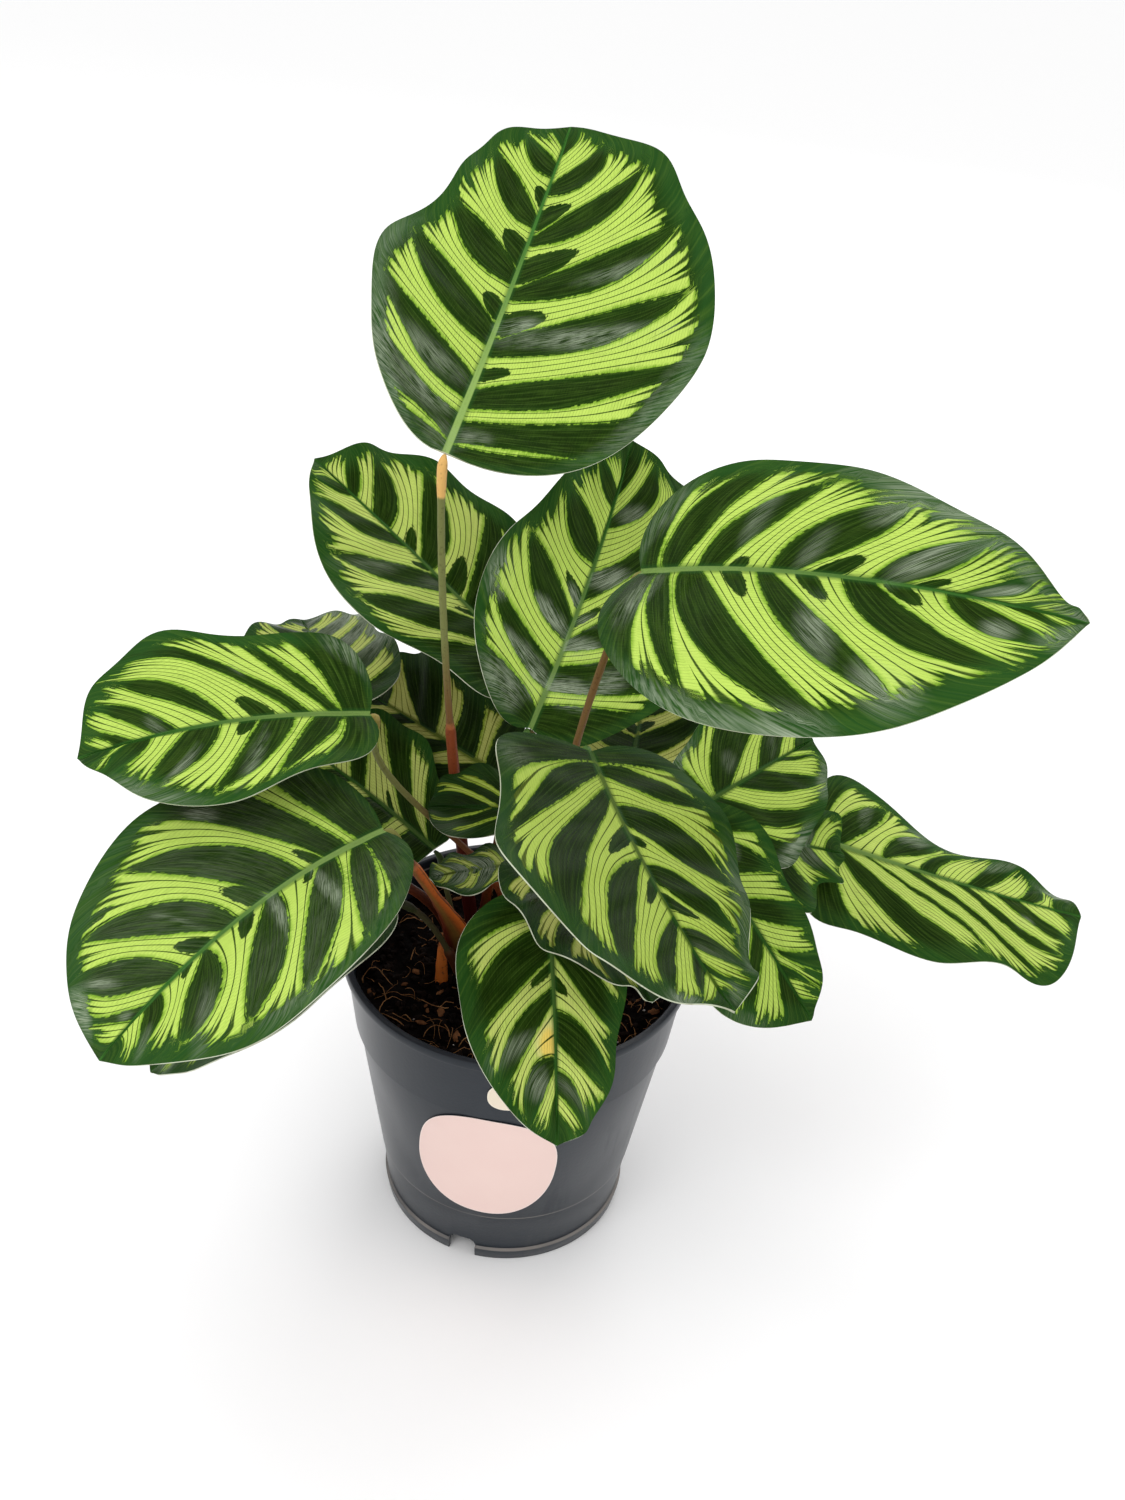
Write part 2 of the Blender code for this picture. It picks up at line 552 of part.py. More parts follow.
def sticker(name, place):
    """A thin egg-shaped sticker that follows the pot's facets just clear of the wall."""
    wall_radii, wall_heights = zip(*pot_outside())
    facet = 360 / POT_SEGMENTS
    half_facet = math.cos(math.radians(facet / 2))
    reach = math.degrees(place["half_width"] / pot_radius(place["height"]))
    first, last = place["azimuth"] - reach, place["azimuth"] + reach
    inner = [facet * k for k in range(math.ceil(first / facet), math.floor(last / facet) + 1)]
    azimuths = [first + 0.3] + [a for a in inner if first + 1 < a < last - 1] + [last - 0.3]
    points = []
    for lift in (GAP, GAP + STICKER_THICKNESS):
        for azimuth in azimuths:
            share = (azimuth - place["azimuth"]) / reach
            tall = place["half_height"] * max(0.12, (1 - abs(share) ** 2.3) ** (1 / 2.3))
            for row in range(STICKER_ROWS):
                height = place["height"] + tall * (2 * row / (STICKER_ROWS - 1) - 1)
                flat = float(np.interp(height, wall_heights, wall_radii)) * half_facet + lift
                radius = flat / math.cos(math.radians(azimuth % facet - facet / 2))
                angle = math.radians(azimuth)
                points.append((radius * math.cos(angle), radius * math.sin(angle), height))
    columns, rows = len(azimuths), STICKER_ROWS
    size = columns * rows
    sheet = []
    for i in range(columns - 1):
        for j in range(rows - 1):
            a = i * rows + j
            sheet += [(a, a + rows, a + rows + 1), (a, a + rows + 1, a + 1)]
    rim = ([i * rows for i in range(columns)] + [(columns - 1) * rows + j for j in range(1, rows)]
           + [i * rows + rows - 1 for i in reversed(range(columns - 1))]
           + [j for j in reversed(range(1, rows - 1))])
    faces = list(sheet) + [tuple(k + size for k in reversed(face)) for face in sheet]
    for a, b in zip(rim, rim[1:] + rim[:1]):
        faces += [(a, b, b + size), (a, b + size, a + size)]
    return solid(name, points, faces, "sticker")


def main():
    """Build the plant in its pot."""
    clear_scene()
    pot()
    soil()
    for leaf in LEAVES:
        blade(leaf)
        stalk(leaf)
    bud_sheath()
    sticker("sticker_front", FRONT_STICKER)
    sticker("sticker_collar", COLLAR_STICKER)


main()
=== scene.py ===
"""Looks of the peacock plant in its nursery pot: patterned blades, stalks, pot, soil and stickers.

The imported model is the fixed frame. A finer mesh of the same form stands for each of its solids, and
fibres, crumbs, bark and grains lie on the soil. Lengths are in millimetres until a mesh is made.
"""

import logging
import math
import random
from dataclasses import dataclass, field
from enum import Enum
from typing import Iterable, Sequence

import bpy
import numpy as np
from mathutils import Matrix, Vector, noise


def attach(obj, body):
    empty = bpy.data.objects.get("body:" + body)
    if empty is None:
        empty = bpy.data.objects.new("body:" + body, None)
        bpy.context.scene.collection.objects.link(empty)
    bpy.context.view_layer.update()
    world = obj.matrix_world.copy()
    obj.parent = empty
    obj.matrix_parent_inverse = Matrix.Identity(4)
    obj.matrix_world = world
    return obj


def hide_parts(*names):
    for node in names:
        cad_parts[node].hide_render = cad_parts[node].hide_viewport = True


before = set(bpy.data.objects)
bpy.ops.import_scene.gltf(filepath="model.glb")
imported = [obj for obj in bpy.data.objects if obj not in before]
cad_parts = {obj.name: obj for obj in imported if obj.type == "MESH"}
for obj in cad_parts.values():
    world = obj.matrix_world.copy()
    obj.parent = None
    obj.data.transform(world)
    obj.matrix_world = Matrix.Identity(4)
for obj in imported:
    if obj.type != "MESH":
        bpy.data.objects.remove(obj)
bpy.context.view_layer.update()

LOG = logging.getLogger("peacock_plant")
MM = 0.001
Colour = tuple[float, float, float]
Array = np.ndarray


# ------------------------------------------------------------------ shader toolkit

def tint(red: int, green: int, blue: int) -> Colour:
    """Turn an everyday 0-255 colour into the linear one that shaders use."""
    parts = (value / 255 for value in (red, green, blue))
    return tuple(part / 12.92 if part < 0.04045 else ((part + 0.055) / 1.055) ** 2.4 for part in parts)


class Value:
    """One number in a shader, which arithmetic on it turns into Math nodes."""

    def __init__(self, shader: "Shader", socket: bpy.types.NodeSocket) -> None:
        """Keep the shader and the socket that gives the number."""
        self.shader = shader
        self.socket = socket

    def __add__(self, other: "Value | float") -> "Value":
        """Sum."""
        return self.shader.math("ADD", self, other)

    __radd__ = __add__

    def __mul__(self, other: "Value | float") -> "Value":
        """Product."""
        return self.shader.math("MULTIPLY", self, other)

    __rmul__ = __mul__

    def __sub__(self, other: "Value | float") -> "Value":
        """Difference."""
        return self.shader.math("SUBTRACT", self, other)

    def __rsub__(self, other: float) -> "Value":
        """Difference from a plain number."""
        return self.shader.math("SUBTRACT", other, self)

    def __truediv__(self, other: "Value | float") -> "Value":
        """Quotient."""
        return self.shader.math("DIVIDE", self, other)

    def __pow__(self, other: float) -> "Value":
        """Power."""
        return self.shader.math("POWER", self, other)

    def __abs__(self) -> "Value":
        """Size without sign."""
        return self.shader.math("ABSOLUTE", self)

    def floor(self) -> "Value":
        """Whole part."""
        return self.shader.math("FLOOR", self)

    def fraction(self) -> "Value":
        """Part after the point."""
        return self.shader.math("FRACT", self)

    def least(self, other: "Value | float") -> "Value":
        """Smaller of two."""
        return self.shader.math("MINIMUM", self, other)

    def most(self, other: "Value | float") -> "Value":
        """Larger of two."""
        return self.shader.math("MAXIMUM", self, other)

    def share(self, low: float = 0.0) -> "Value":
        """The value held between low and 1."""
        return self.least(1.0).most(low)

    def between(self, low: float, high: float) -> "Value":
        """Smooth step from 0 at low to 1 at high.

        Args:
            low: Where the step starts.
            high: Where it ends; below low the step runs the other way.

        Returns:
            A mask from 0 to 1.
        """
        if low > high:
            return 1 - self.between(high, low)
        values = {"Value": self, "From Min": low, "From Max": high}
        return self.shader.node("ShaderNodeMapRange", {"interpolation_type": "SMOOTHSTEP"}, values)


class Shader:
    """A material under construction."""

    def __init__(self, name: str) -> None:
        """Start a material with a bare Principled shader.

        Args:
            name: The material's name.
        """
        self.material = bpy.data.materials.new(name)
        self.material.use_nodes = True
        self.tree = self.material.node_tree
        self.surface = self.tree.nodes["Principled BSDF"]

    def node(self, kind: str, settings: dict | None = None, values: dict | None = None,
             output: str | int = 0) -> Value:
        """Add one node.

        Args:
            kind: The node's type.
            settings: Its properties, which are set first.
            values: What goes into its sockets, by name or number.
            output: The output wanted.

        Returns:
            The wanted output.
        """
        made = self.tree.nodes.new(kind)
        for key, setting in (settings or {}).items():
            setattr(made, key, setting)
        for key, value in (values or {}).items():
            self._feed(made.inputs[key], value)
        return Value(self, made.outputs[output])

    def _feed(self, socket: bpy.types.NodeSocket, value: Value | Colour | float) -> None:
        """Link a value into a socket, or set the socket to a constant.

        Args:
            socket: The socket.
            value: A value to link, or the constant.
        """
        if isinstance(value, Value):
            self.tree.links.new(value.socket, socket)
        elif socket.type == "RGBA":
            socket.default_value = (*value, 1.0)
        else:
            socket.default_value = value

    def math(self, operation: str, *operands: Value | float) -> Value:
        """Add one Math node on the operands given."""
        return self.node("ShaderNodeMath", {"operation": operation}, dict(enumerate(operands)))

    def split(self, vector: Value) -> tuple[Value, Value, Value]:
        """Split a vector in its three values."""
        node = self.node("ShaderNodeSeparateXYZ", values={0: vector}).socket.node
        return tuple(Value(self, output) for output in node.outputs)

    def field(self, name: str) -> tuple[Value, Value, Value]:
        """Read a vector attribute of the mesh as three values."""
        return self.split(self.node("ShaderNodeAttribute", {"attribute_name": name}, output="Vector"))

    def vector(self, x: Value | float, y: Value | float = 0.0, z: Value | float = 0.0) -> Value:
        """Join three values in a vector."""
        return self.node("ShaderNodeCombineXYZ", values={0: x, 1: y, 2: z})

    def chance(self, x: Value | float, y: Value | float = 0.0, z: Value | float = 0.0) -> Value:
        """A random number from 0 to 1 that is fixed for each whole (x, y, z)."""
        return self.node("ShaderNodeTexWhiteNoise", values={"Vector": self.vector(x, y, z)})

    def cloud(self, place: Value, scale: float, detail: float = 2.0, roughness: float = 0.5) -> Value:
        """Soft noise from 0 to 1 at a place, with some finer layers as strong as roughness."""
        values = {"Vector": place, "Scale": scale, "Detail": detail, "Roughness": roughness}
        return self.node("ShaderNodeTexNoise", values=values)

    def here(self) -> Value:
        """Position on the object in metres."""
        return self.node("ShaderNodeTexCoord", output="Object")

    def blend(self, share: Value | float, first: Value | Colour, second: Value | Colour) -> Value:
        """Mix two colours; share 0 gives the first and 1 the second."""
        return self.node("ShaderNodeMix", {"data_type": "RGBA"}, {0: share, 6: first, 7: second}, 2)

    def coats(self, colour: Value | Colour, *coats: tuple[Value | float, Value | Colour]) -> Value:
        """Lay coats over a colour.

        Args:
            colour: The colour below.
            coats: How much each coat covers, from 0 to 1, and its colour.

        Returns:
            The colour on top.
        """
        for share, coat in coats:
            colour = self.blend(share, colour, coat)
        return colour

    def finish(self, colour: Value, roughness: Value | float, gloss: float = 0.5,
               relief: tuple[Value, float, float] | None = None) -> bpy.types.Material:
        """Feed the Principled shader.

        Args:
            colour: Its base colour.
            roughness: Its roughness.
            gloss: Its specular level.
            relief: A height from 0 to 1, the metres that 1 stands for and the share of the effect.

        Returns:
            The material.
        """
        values = {"Base Color": colour, "Roughness": roughness, "Specular IOR Level": gloss}
        if relief is not None:
            bump = dict(zip(("Height", "Distance", "Strength"), relief))
            values["Normal"] = self.node("ShaderNodeBump", values=bump)
        for key, value in values.items():
            self._feed(self.surface.inputs[key], value)
        return self.material


# ------------------------------------------------------------------ mesh toolkit

@dataclass
class Surface:
    """A mesh under construction, in millimetres."""

    points: list = field(default_factory=list)
    faces: list = field(default_factory=list)
    slots: list = field(default_factory=list)
    fields: dict = field(default_factory=dict)

    def add(self, points: Array | Sequence, faces: Iterable, slot: int = 0, **fields: Array) -> None:
        """Add points and faces.

        Args:
            points: Points in millimetres.
            faces: Faces that count from the first new point.
            slot: Material slot of the faces.
            fields: Vector attributes of the points.
        """
        start = sum(len(block) for block in self.points)
        self.points.append(np.asarray(points, float).reshape(-1, 3))
        self.join([tuple(k + start for k in face) for face in faces], slot)
        for name, value in fields.items():
            self.fields.setdefault(name, []).append(np.asarray(value, float).reshape(-1, 3))

    def join(self, faces: Sequence, slot: int = 0) -> None:
        """Add faces between points that are there already."""
        self.faces += faces
        self.slots += [slot] * len(faces)

    def build(self, name: str, materials: Sequence[bpy.types.Material], smooth: bool = True,
              crease: float | None = None) -> bpy.types.Object:
        """Make the object.

        Args:
            name: Name of the piece.
            materials: Its materials, one for each slot.
            smooth: Whether it is shaded smooth.
            crease: Angle in degrees above which an edge stays sharp.

        Returns:
            The new object.
        """
        mesh = bpy.data.meshes.new(name)
        mesh.from_pydata((np.concatenate(self.points) * MM).tolist(), [], self.faces)
        for material in materials:
            mesh.materials.append(material)
        mesh.polygons.foreach_set("material_index", self.slots)
        for key, blocks in self.fields.items():
            attribute = mesh.attributes.new(key, "FLOAT_VECTOR", "POINT")
            attribute.data.foreach_set("vector", np.concatenate(blocks).astype(np.float32).ravel())
        if smooth:
            mesh.shade_smooth()
        if crease is not None:
            mesh.set_sharp_from_angle(angle=math.radians(crease))
        mesh.validate()
        made = bpy.data.objects.new(name, mesh)
        bpy.context.scene.collection.objects.link(made)
        return made


def seat(piece: bpy.types.Object, solid: str = "") -> bpy.types.Object:
    """Ride a piece on the part's body.

    Args:
        piece: The piece.
        solid: The solid that it stands for, if any.

    Returns:
        The piece.
    """
    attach(piece, "root")
    if solid:
        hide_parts(solid)
    return piece


def polar(radius: float, angle: float) -> tuple[float, float]:
    """Plan position at a radius and angle about the pot's axis."""
    return radius * math.cos(angle), radius * math.sin(angle)


def circle(count: int, whole: float = math.tau) -> Array:
    """Evenly spaced places round a full turn, which measures whole."""
    return np.linspace(0, whole, count, endpoint=False)


def grid_faces(rows: int, columns: int, around: bool = False) -> list[tuple[int, ...]]:
    """Faces of a grid of points laid out row by row.

    Args:
        rows: Number of rows.
        columns: Points in each row.
        around: Whether each row closes on itself.

    Returns:
        The faces.
    """
    faces = []
    for i in range(rows - 1):
        for j in range(columns if around else columns - 1):
            a, b = i * columns + j, i * columns + (j + 1) % columns
            faces.append((a, b, b + columns, a + columns))
    return faces


def barrel_faces(rings: int, sides: int) -> list[tuple[int, ...]]:
    """Faces of a closed body of rings, with both ends capped."""
    ends = [tuple(reversed(range(sides))), tuple(range((rings - 1) * sides, rings * sides))]
    return grid_faces(rings, sides, around=True) + ends


def fan_faces(first: int, count: int, middle: int) -> list[tuple[int, ...]]:
    """Faces from a ring of points, numbered from first, to one middle point."""
    return [(first + j, first + (j + 1) % count, middle) for j in range(count)]


def tube(route: Array, radii: Array, sides: int, flat: Array | None = None) -> tuple[Array, list]:
    """A closed tube along a route.

    Args:
        route: Points of the route.
        radii: Radius at each point.
        sides: Points in each ring.
        flat: How much wider than deep each ring is, or None for round ones.

    Returns:
        Points and faces.
    """
    ahead = np.gradient(route, axis=0)
    ahead /= np.linalg.norm(ahead, axis=1, keepdims=True)
    side = np.array([1.0, 0.0, 0.0])
    turn = circle(sides)
    points = []
    for k, (centre, direction, radius) in enumerate(zip(route, ahead, radii)):
        side = side - direction * (side @ direction)
        side /= np.linalg.norm(side)
        other = np.cross(direction, side)
        wide = 1.0 if flat is None else flat[k]
        points.append(centre + radius * (wide * np.cos(turn)[:, None] * side
                                         + np.sin(turn)[:, None] * other / wide ** 0.5))
    return np.concatenate(points), barrel_faces(len(route), sides)


# ------------------------------------------------------------------ finishes

@dataclass(frozen=True)
class LeafFinish:
    """Feather pattern of a blade's upper face, and what shows of it below.

    The mesh gives five vector fields: leaf_place (vein number, mm out from the midrib, mm in from the
    margin), leaf_band (finger number, mm inside a light band's sides, mm inside its outer end),
    leaf_mark (mm inside a dark oval, painted silvery sheen, length of the dark wedges in mm), leaf_rib
    (way out in rib widths, place along the midrib, lightness) and leaf_tone (seed, painted shade,
    yellowing). The sheen is a reflection painted into the colour, and the shade darkens whole blades
    that lie in shade.
    """

    light: Colour = tint(184, 213, 95)
    aged: Colour = tint(216, 218, 132)
    lime: Colour = tint(112, 156, 34)
    deep: Colour = tint(25, 48, 5)
    core: Colour = tint(20, 16, 7)
    mottle: Colour = tint(82, 114, 40)
    margin: Colour = tint(38, 78, 30)
    vein: Colour = tint(26, 56, 10)
    rib: Colour = tint(138, 168, 90)
    rib_tip: Colour = tint(62, 112, 44)
    dull: Colour = tint(40, 76, 24)
    # painted sheen: the colour of silvery reflections painted onto the blade
    gloss: Colour = tint(158, 170, 146)
    gold: Colour = tint(240, 212, 104)
    scar: Colour = tint(158, 84, 20)
    # painted shade: the colours that the dark and the light parts turn towards on shaded blades
    shaded_deep: Colour = tint(4, 6, 3)
    shaded_pale: Colour = tint(98, 102, 26)
    cell: float = 0.95

    def masks(self, shader: Shader) -> dict[str, Value]:
        """Work out the pattern's masks.

        Args:
            shader: The material under construction.

        Returns:
            Masks by name, with the fields that other steps read.
        """
        vein, out, inward = shader.field("leaf_place")
        finger, beside, ahead = shader.field("leaf_band")
        # gloss here is the strength of the painted silvery sheen
        oval, gloss, wedge = shader.field("leaf_mark")
        # shade is the strength of the painted shade on the blade
        seed, shade, yellow = shader.field("leaf_tone")
        rib, along, bright = shader.field("leaf_rib")
        strip, across = vein.floor(), vein.fraction()
        brick = out / self.cell + shader.chance(strip, seed)
        ragged = shader.chance(strip, brick.floor(), seed) - 0.5
        cleft = abs(finger.fraction() * 2 - 1) ** 9 * wedge
        comb = shader.chance(strip, seed, 7.0) - 0.6
        end = ahead - cleft + ragged * 1.2 + comb * 3.4
        side = beside + ragged * 0.6
        light = end.least(side).between(-0.2, 0.2) * (1 - (oval + ragged * 0.5).between(-0.14, 0.14))
        spread = 1 + ahead.between(6.5, -1.0) * 1.8 * light
        return {
            "vein": vein, "out": out, "inward": inward, "seed": seed, "shade": shade, "yellow": yellow,
            "gloss": gloss, "along": along, "bright": bright, "light": light, "depth": end.least(side),
            "line": (abs(across - 0.5) / spread).between(0.10, 0.035),
            "cross": abs(brick.fraction() - 0.5).between(0.36, 0.47),
            "rib": rib.between(1.25, 0.8), "groove": rib.between(2.6, 1.1),
            "core": oval.most(0 - beside).between(0.6, 2.6),
        }

    def grain(self, m: dict[str, Value], along: float, out: float, scale: float, detail: float = 3.0,
              roughness: float = 0.5) -> Value:
        """Noise that runs out along the side veins.

        Args:
            m: The pattern's masks.
            along: How fast it changes from vein to vein.
            out: How fast it changes along a vein.
            scale: How fine it is.
            detail: How many finer layers it has.
            roughness: How strong they are.

        Returns:
            The noise, from 0 to 1.
        """
        shader = m["vein"].shader
        place = shader.vector(m["vein"] * along, m["out"] * out, m["seed"])
        return shader.cloud(place, scale, detail, roughness)

    def material(self, name: str) -> bpy.types.Material:
        """Make the upper face's material.

        Args:
            name: Its name.

        Returns:
            The material.
        """
        shader = Shader(name)
        m = self.masks(shader)
        patch = self.grain(m, 0.12, 0.05, 3.0)
        fine = self.grain(m, 1.7, 0.06, 1.6)
        tooth = self.grain(m, 0.5, 3.2, 1.0, 2.0)
        edge = m["depth"].between(1.7, 0.0) * (0.35 + tooth) + (patch - 0.5) * 0.5 + (fine - 0.5) * 0.5
        hair = tooth.between(0.52, 0.72) * 0.22 + m["cross"] * 0.26
        pale = shader.coats(
            self.light,
            ((m["yellow"] + patch * 0.5 - 0.25).between(0.0, 1.0), self.aged),
            (m["yellow"].between(0.9, 1.9), self.gold),
            (m["yellow"].between(2.6, 3.1), self.scar),
            (edge.share(), self.lime),
            (hair + m["line"] * 0.9, self.vein),
        )
        outer = m["inward"].between(10.0, 2.0) * 0.8 + (patch - 0.5) * 0.6
        # a paler mid-green mottle with faint vein lines in the dark parts
        rest = m["line"] * 0.18 + m["cross"] * 0.05 + (fine - 0.43) * 0.9 + (tooth - 0.5) * 0.3
        green = shader.coats(
            self.deep,
            (outer.share(0.1), self.margin),
            (m["core"] * 0.6 * patch, self.core),
            (rest.share(), self.mottle),
        )
        # painted sheen: silvery streaks along the veins, strongest on the dark parts, where the blade would
        # reflect light
        sheen_grain = self.grain(m, 5.0, 0.09, 1.6, 4.0, 0.65)
        streak = (sheen_grain.between(0.36, 0.66) * 0.9 + (patch - 0.5) * 1.2).share() * m["gloss"]
        midrib = shader.blend(m["along"].between(0.15, 0.75), self.rib, self.rib_tip)
        colour = shader.coats(
            green,
            (m["light"], pale),
            (m["groove"] * 0.6, self.margin),
            (m["rib"], shader.blend(m["bright"], self.dull, midrib)),
            # painted sheen laid over the colour
            (streak.least(0.9) * (1 - m["light"] * 0.8), self.gloss),
            # painted shade: the whole blade darkened where it lies in shade
            (m["shade"], shader.blend(m["light"], self.shaded_deep, self.shaded_pale)),
        )
        height = (1 - m["line"]) * 0.5 + (1 - m["cross"]) * 0.12 + fine * 0.3
        rough = 0.28 + (patch - 0.5) * 0.16 + m["light"] * 0.12
        return shader.finish(colour, rough, 0.025, (height, 0.00022, 0.5))

    def under(self, name: str) -> bpy.types.Material:
        """Make the lower face's material: purple, with the pattern showing through.

        Args:
            name: Its name.

        Returns:
            The material.
        """
        shader = Shader(name)
        m = self.masks(shader)
        patch = self.grain(m, 0.2, 0.08, 3.0, 2.0)
        colour = shader.coats(
            tint(66, 26, 42),
            (m["light"] * 0.85, tint(112, 88, 62)),
            (m["line"] * 0.4 + m["cross"] * 0.12, tint(50, 20, 30)),
            (m["groove"], tint(98, 62, 50)),
            (patch * 0.3, tint(84, 56, 54)),
        )
        height = m["line"] * 0.5 + m["rib"] * 0.5
        return shader.finish(colour, 0.5 + (patch - 0.5) * 0.1, relief=(height, 0.0002, 0.5))

    def rim(self, name: str) -> bpy.types.Material:
        """Make the thin pale edge's material.

        Args:
            name: Its name.

        Returns:
            The material.
        """
        shader = Shader(name)
        vein, _, _ = shader.field("leaf_place")
        seed, shade, _ = shader.field("leaf_tone")
        patch = shader.cloud(shader.vector(vein * 0.12, seed), 3.0)
        colour = shader.coats(
            tint(198, 206, 180),
            (patch.between(0.42, 0.7) * 0.6, tint(120, 112, 84)),
            # painted shade: the rim darkens with its blade's shade
            (shade * 0.6, tint(88, 84, 60)),
        )
        return shader.finish(colour, 0.5)


@dataclass(frozen=True)
class StalkFinish:
    """Skin of a stalk, from its red-brown sheath to the joint under the blade.

    The mesh gives stalk_place (mm up, way round from 0 to 1, mm below the blade) and stalk_tone (mm up
    to the top of the sheath, how orange the joint is, how warm the rest is, or how deep in painted shadow
    it lies below 0).
    """

    sheath: Colour = tint(122, 58, 26)
    dark: Colour = tint(66, 16, 10)
    husk: Colour = tint(190, 98, 34)
    olive: Colour = tint(104, 84, 34)
    middle: Colour = tint(112, 116, 66)
    brown: Colour = tint(104, 62, 32)
    collar: Colour = tint(170, 104, 60)
    joint: Colour = tint(216, 170, 100)
    green: Colour = tint(66, 98, 38)
    speck: Colour = tint(40, 22, 12)
    shadow: Colour = tint(26, 12, 7)

    def material(self, name: str) -> bpy.types.Material:
        """Make the material.

        Args:
            name: Its name.

        Returns:
            The material.
        """
        shader = Shader(name)
        up, around, left = shader.field("stalk_place")
        top, orange, warm = shader.field("stalk_tone")
        turn = around * math.tau
        right = shader.math("COSINE", turn)
        ring = shader.vector(shader.math("SINE", turn) * 2.0, right * 2.0, up * 0.035 + top)
        streak = shader.cloud(ring, 1.6, 3.0)
        speck = shader.cloud(shader.here(), 900.0)
        fold = abs(right + 0.1).between(0.65, 0.15) * (streak.between(0.2, 0.5) * warm).most(0.0)
        sheath = shader.coats(
            self.dark,
            ((up / top).between(0.3, 0.95), self.sheath),
            (((streak * 0.4 + right - 0.1) * warm).share(), self.husk),
            (fold * 0.75, self.olive),
        )
        olive = streak * 0.5 - 0.1 + (up - top).between(0.0, 45.0) - warm
        colour = shader.coats(
            sheath,
            ((up - top).between(-0.7, 0.7), shader.blend(olive.share(), self.brown, self.middle)),
            (abs(up - top).between(1.6, 0.5) * 0.5, self.collar),
            ((left + (streak - 0.5) * 2).between(13.4, 12.2), shader.blend(orange, self.green, self.joint)),
            (speck.between(0.56, 0.7) * 0.3, self.speck),
            # painted shadow: stalks with warmth below 0 are darkened as if in shade
            ((0 - warm).most(0.0), self.shadow),
        )
        return shader.finish(colour, 0.42 + streak * 0.15, 0.15, (streak, 0.0003, 0.5))


@dataclass(frozen=True)
class SheathFinish:
    """Dry husk of the bare bud, browner towards its tip."""

    husk: Colour = tint(190, 88, 22)
    streak: Colour = tint(226, 132, 48)
    tip: Colour = tint(110, 60, 30)
    spot: Colour = tint(74, 34, 16)

    def material(self, name: str) -> bpy.types.Material:
        """Make the material.

        Args:
            name: Its name.

        Returns:
            The material.
        """
        shader = Shader(name)
        up, around, seed = shader.field("stalk_place")
        grain = shader.cloud(shader.vector(up * 2, around * 22, seed), 2.0, 4.0)
        spots = shader.cloud(shader.here(), 700.0)
        colour = shader.coats(
            self.husk,
            (grain, self.streak),
            (up.between(0.55, 1.0) * 0.6, self.tip),
            (spots.between(0.58, 0.68) * 0.5, self.spot),
        )
        return shader.finish(colour, 0.55, relief=(grain, 0.0003, 0.6))


@dataclass(frozen=True)
class PotFinish:
    """Blue-black moulded plastic with a fine orange-peel surface, scuffs, dust and painted highlight lines
    along the lip and steps.
    """

    plastic: Colour = tint(24, 31, 39)
    haze: Colour = tint(48, 55, 62)
    dust: Colour = tint(130, 128, 122)
    # colour of the painted highlight lines on the lip and the steps
    edge: Colour = tint(168, 160, 152)
    scuff: Colour = tint(110, 108, 100)
    highlight_heights: tuple[float, ...] = (0.1054, 0.0812, 0.024, 0.0053)

    def material(self, name: str) -> bpy.types.Material:
        """Make the material.

        Args:
            name: Its name.

        Returns:
            The material.
        """
        shader = Shader(name)
        here = shader.here()
        x, y, height = shader.split(here)
        peel = shader.cloud(here, 900.0)
        smear = shader.cloud(here, 22.0, 4.0, 0.6)
        dust = shader.cloud(here, 160.0, 5.0, 0.75)
        scuff = shader.cloud(shader.vector(x, y, height * 0.15), 60.0, 4.0, 0.7)
        # breaks up the painted highlight lines
        highlight_strength = 0.3 + smear.between(0.3, 0.6) * 0.7
        colour = shader.coats(
            self.plastic,
            ((smear - 0.4) * 0.8, self.haze),
            (dust.between(0.62, 0.8) * 0.12, self.dust),
            # painted highlights: thin pale lines at the heights of the lip and the steps
            *((abs(height - edge).between(0.0005, 0.00015) * highlight_strength * 0.5, self.edge) for edge in self.highlight_heights),
            (height.between(0.03, 0.0) * scuff.between(0.5, 0.75) * 0.2, self.scuff),
        )
        rough = 0.30 + (smear - 0.5) * 0.18 + scuff.between(0.55, 0.8) * 0.12
        return shader.finish(colour, rough, 0.3, (peel * 0.5 + scuff * 0.5, 0.00012, 0.5))


@dataclass(frozen=True)
class SoilFinish:
    """Moist dark peat."""

    peat: Colour = tint(2, 1, 1)
    clump: Colour = tint(14, 8, 5)
    grain: Colour = tint(58, 36, 22)

    def material(self, name: str) -> bpy.types.Material:
        """Make the material.

        Args:
            name: Its name.

        Returns:
            The material.
        """
        shader = Shader(name)
        here = shader.here()
        grain = shader.cloud(here, 420.0, 6.0, 0.7)
        clump = shader.cloud(here, 90.0, 4.0, 0.6)
        colour = shader.coats(
            self.peat, (clump, self.clump), (grain.between(0.55, 0.75) * 0.4, self.grain))
        return shader.finish(colour, 0.92 - grain * 0.2, 0.04, (grain * 0.7 + clump * 0.3, 0.0014, 0.9))


@dataclass(frozen=True)
class SpeckFinish:
    """Loose matter on the soil: fibres, crumbs, bark and white grains, in two tones with a grain."""

    first: Colour
    second: Colour
    roughness: float = 0.8

    def material(self, name: str) -> bpy.types.Material:
        """Make the material.

        Args:
            name: Its name.

        Returns:
            The material.
        """
        shader = Shader(name)
        here = shader.here()
        grain = shader.cloud(here, 700.0, 4.0, 0.65)
        patch = shader.cloud(here, 130.0)
        colour = shader.blend((patch * 0.8 + grain * 0.5 - 0.15).between(0.1, 0.9), self.first, self.second)
        return shader.finish(colour, self.roughness, 0.08, (grain, 0.0003, 0.6))


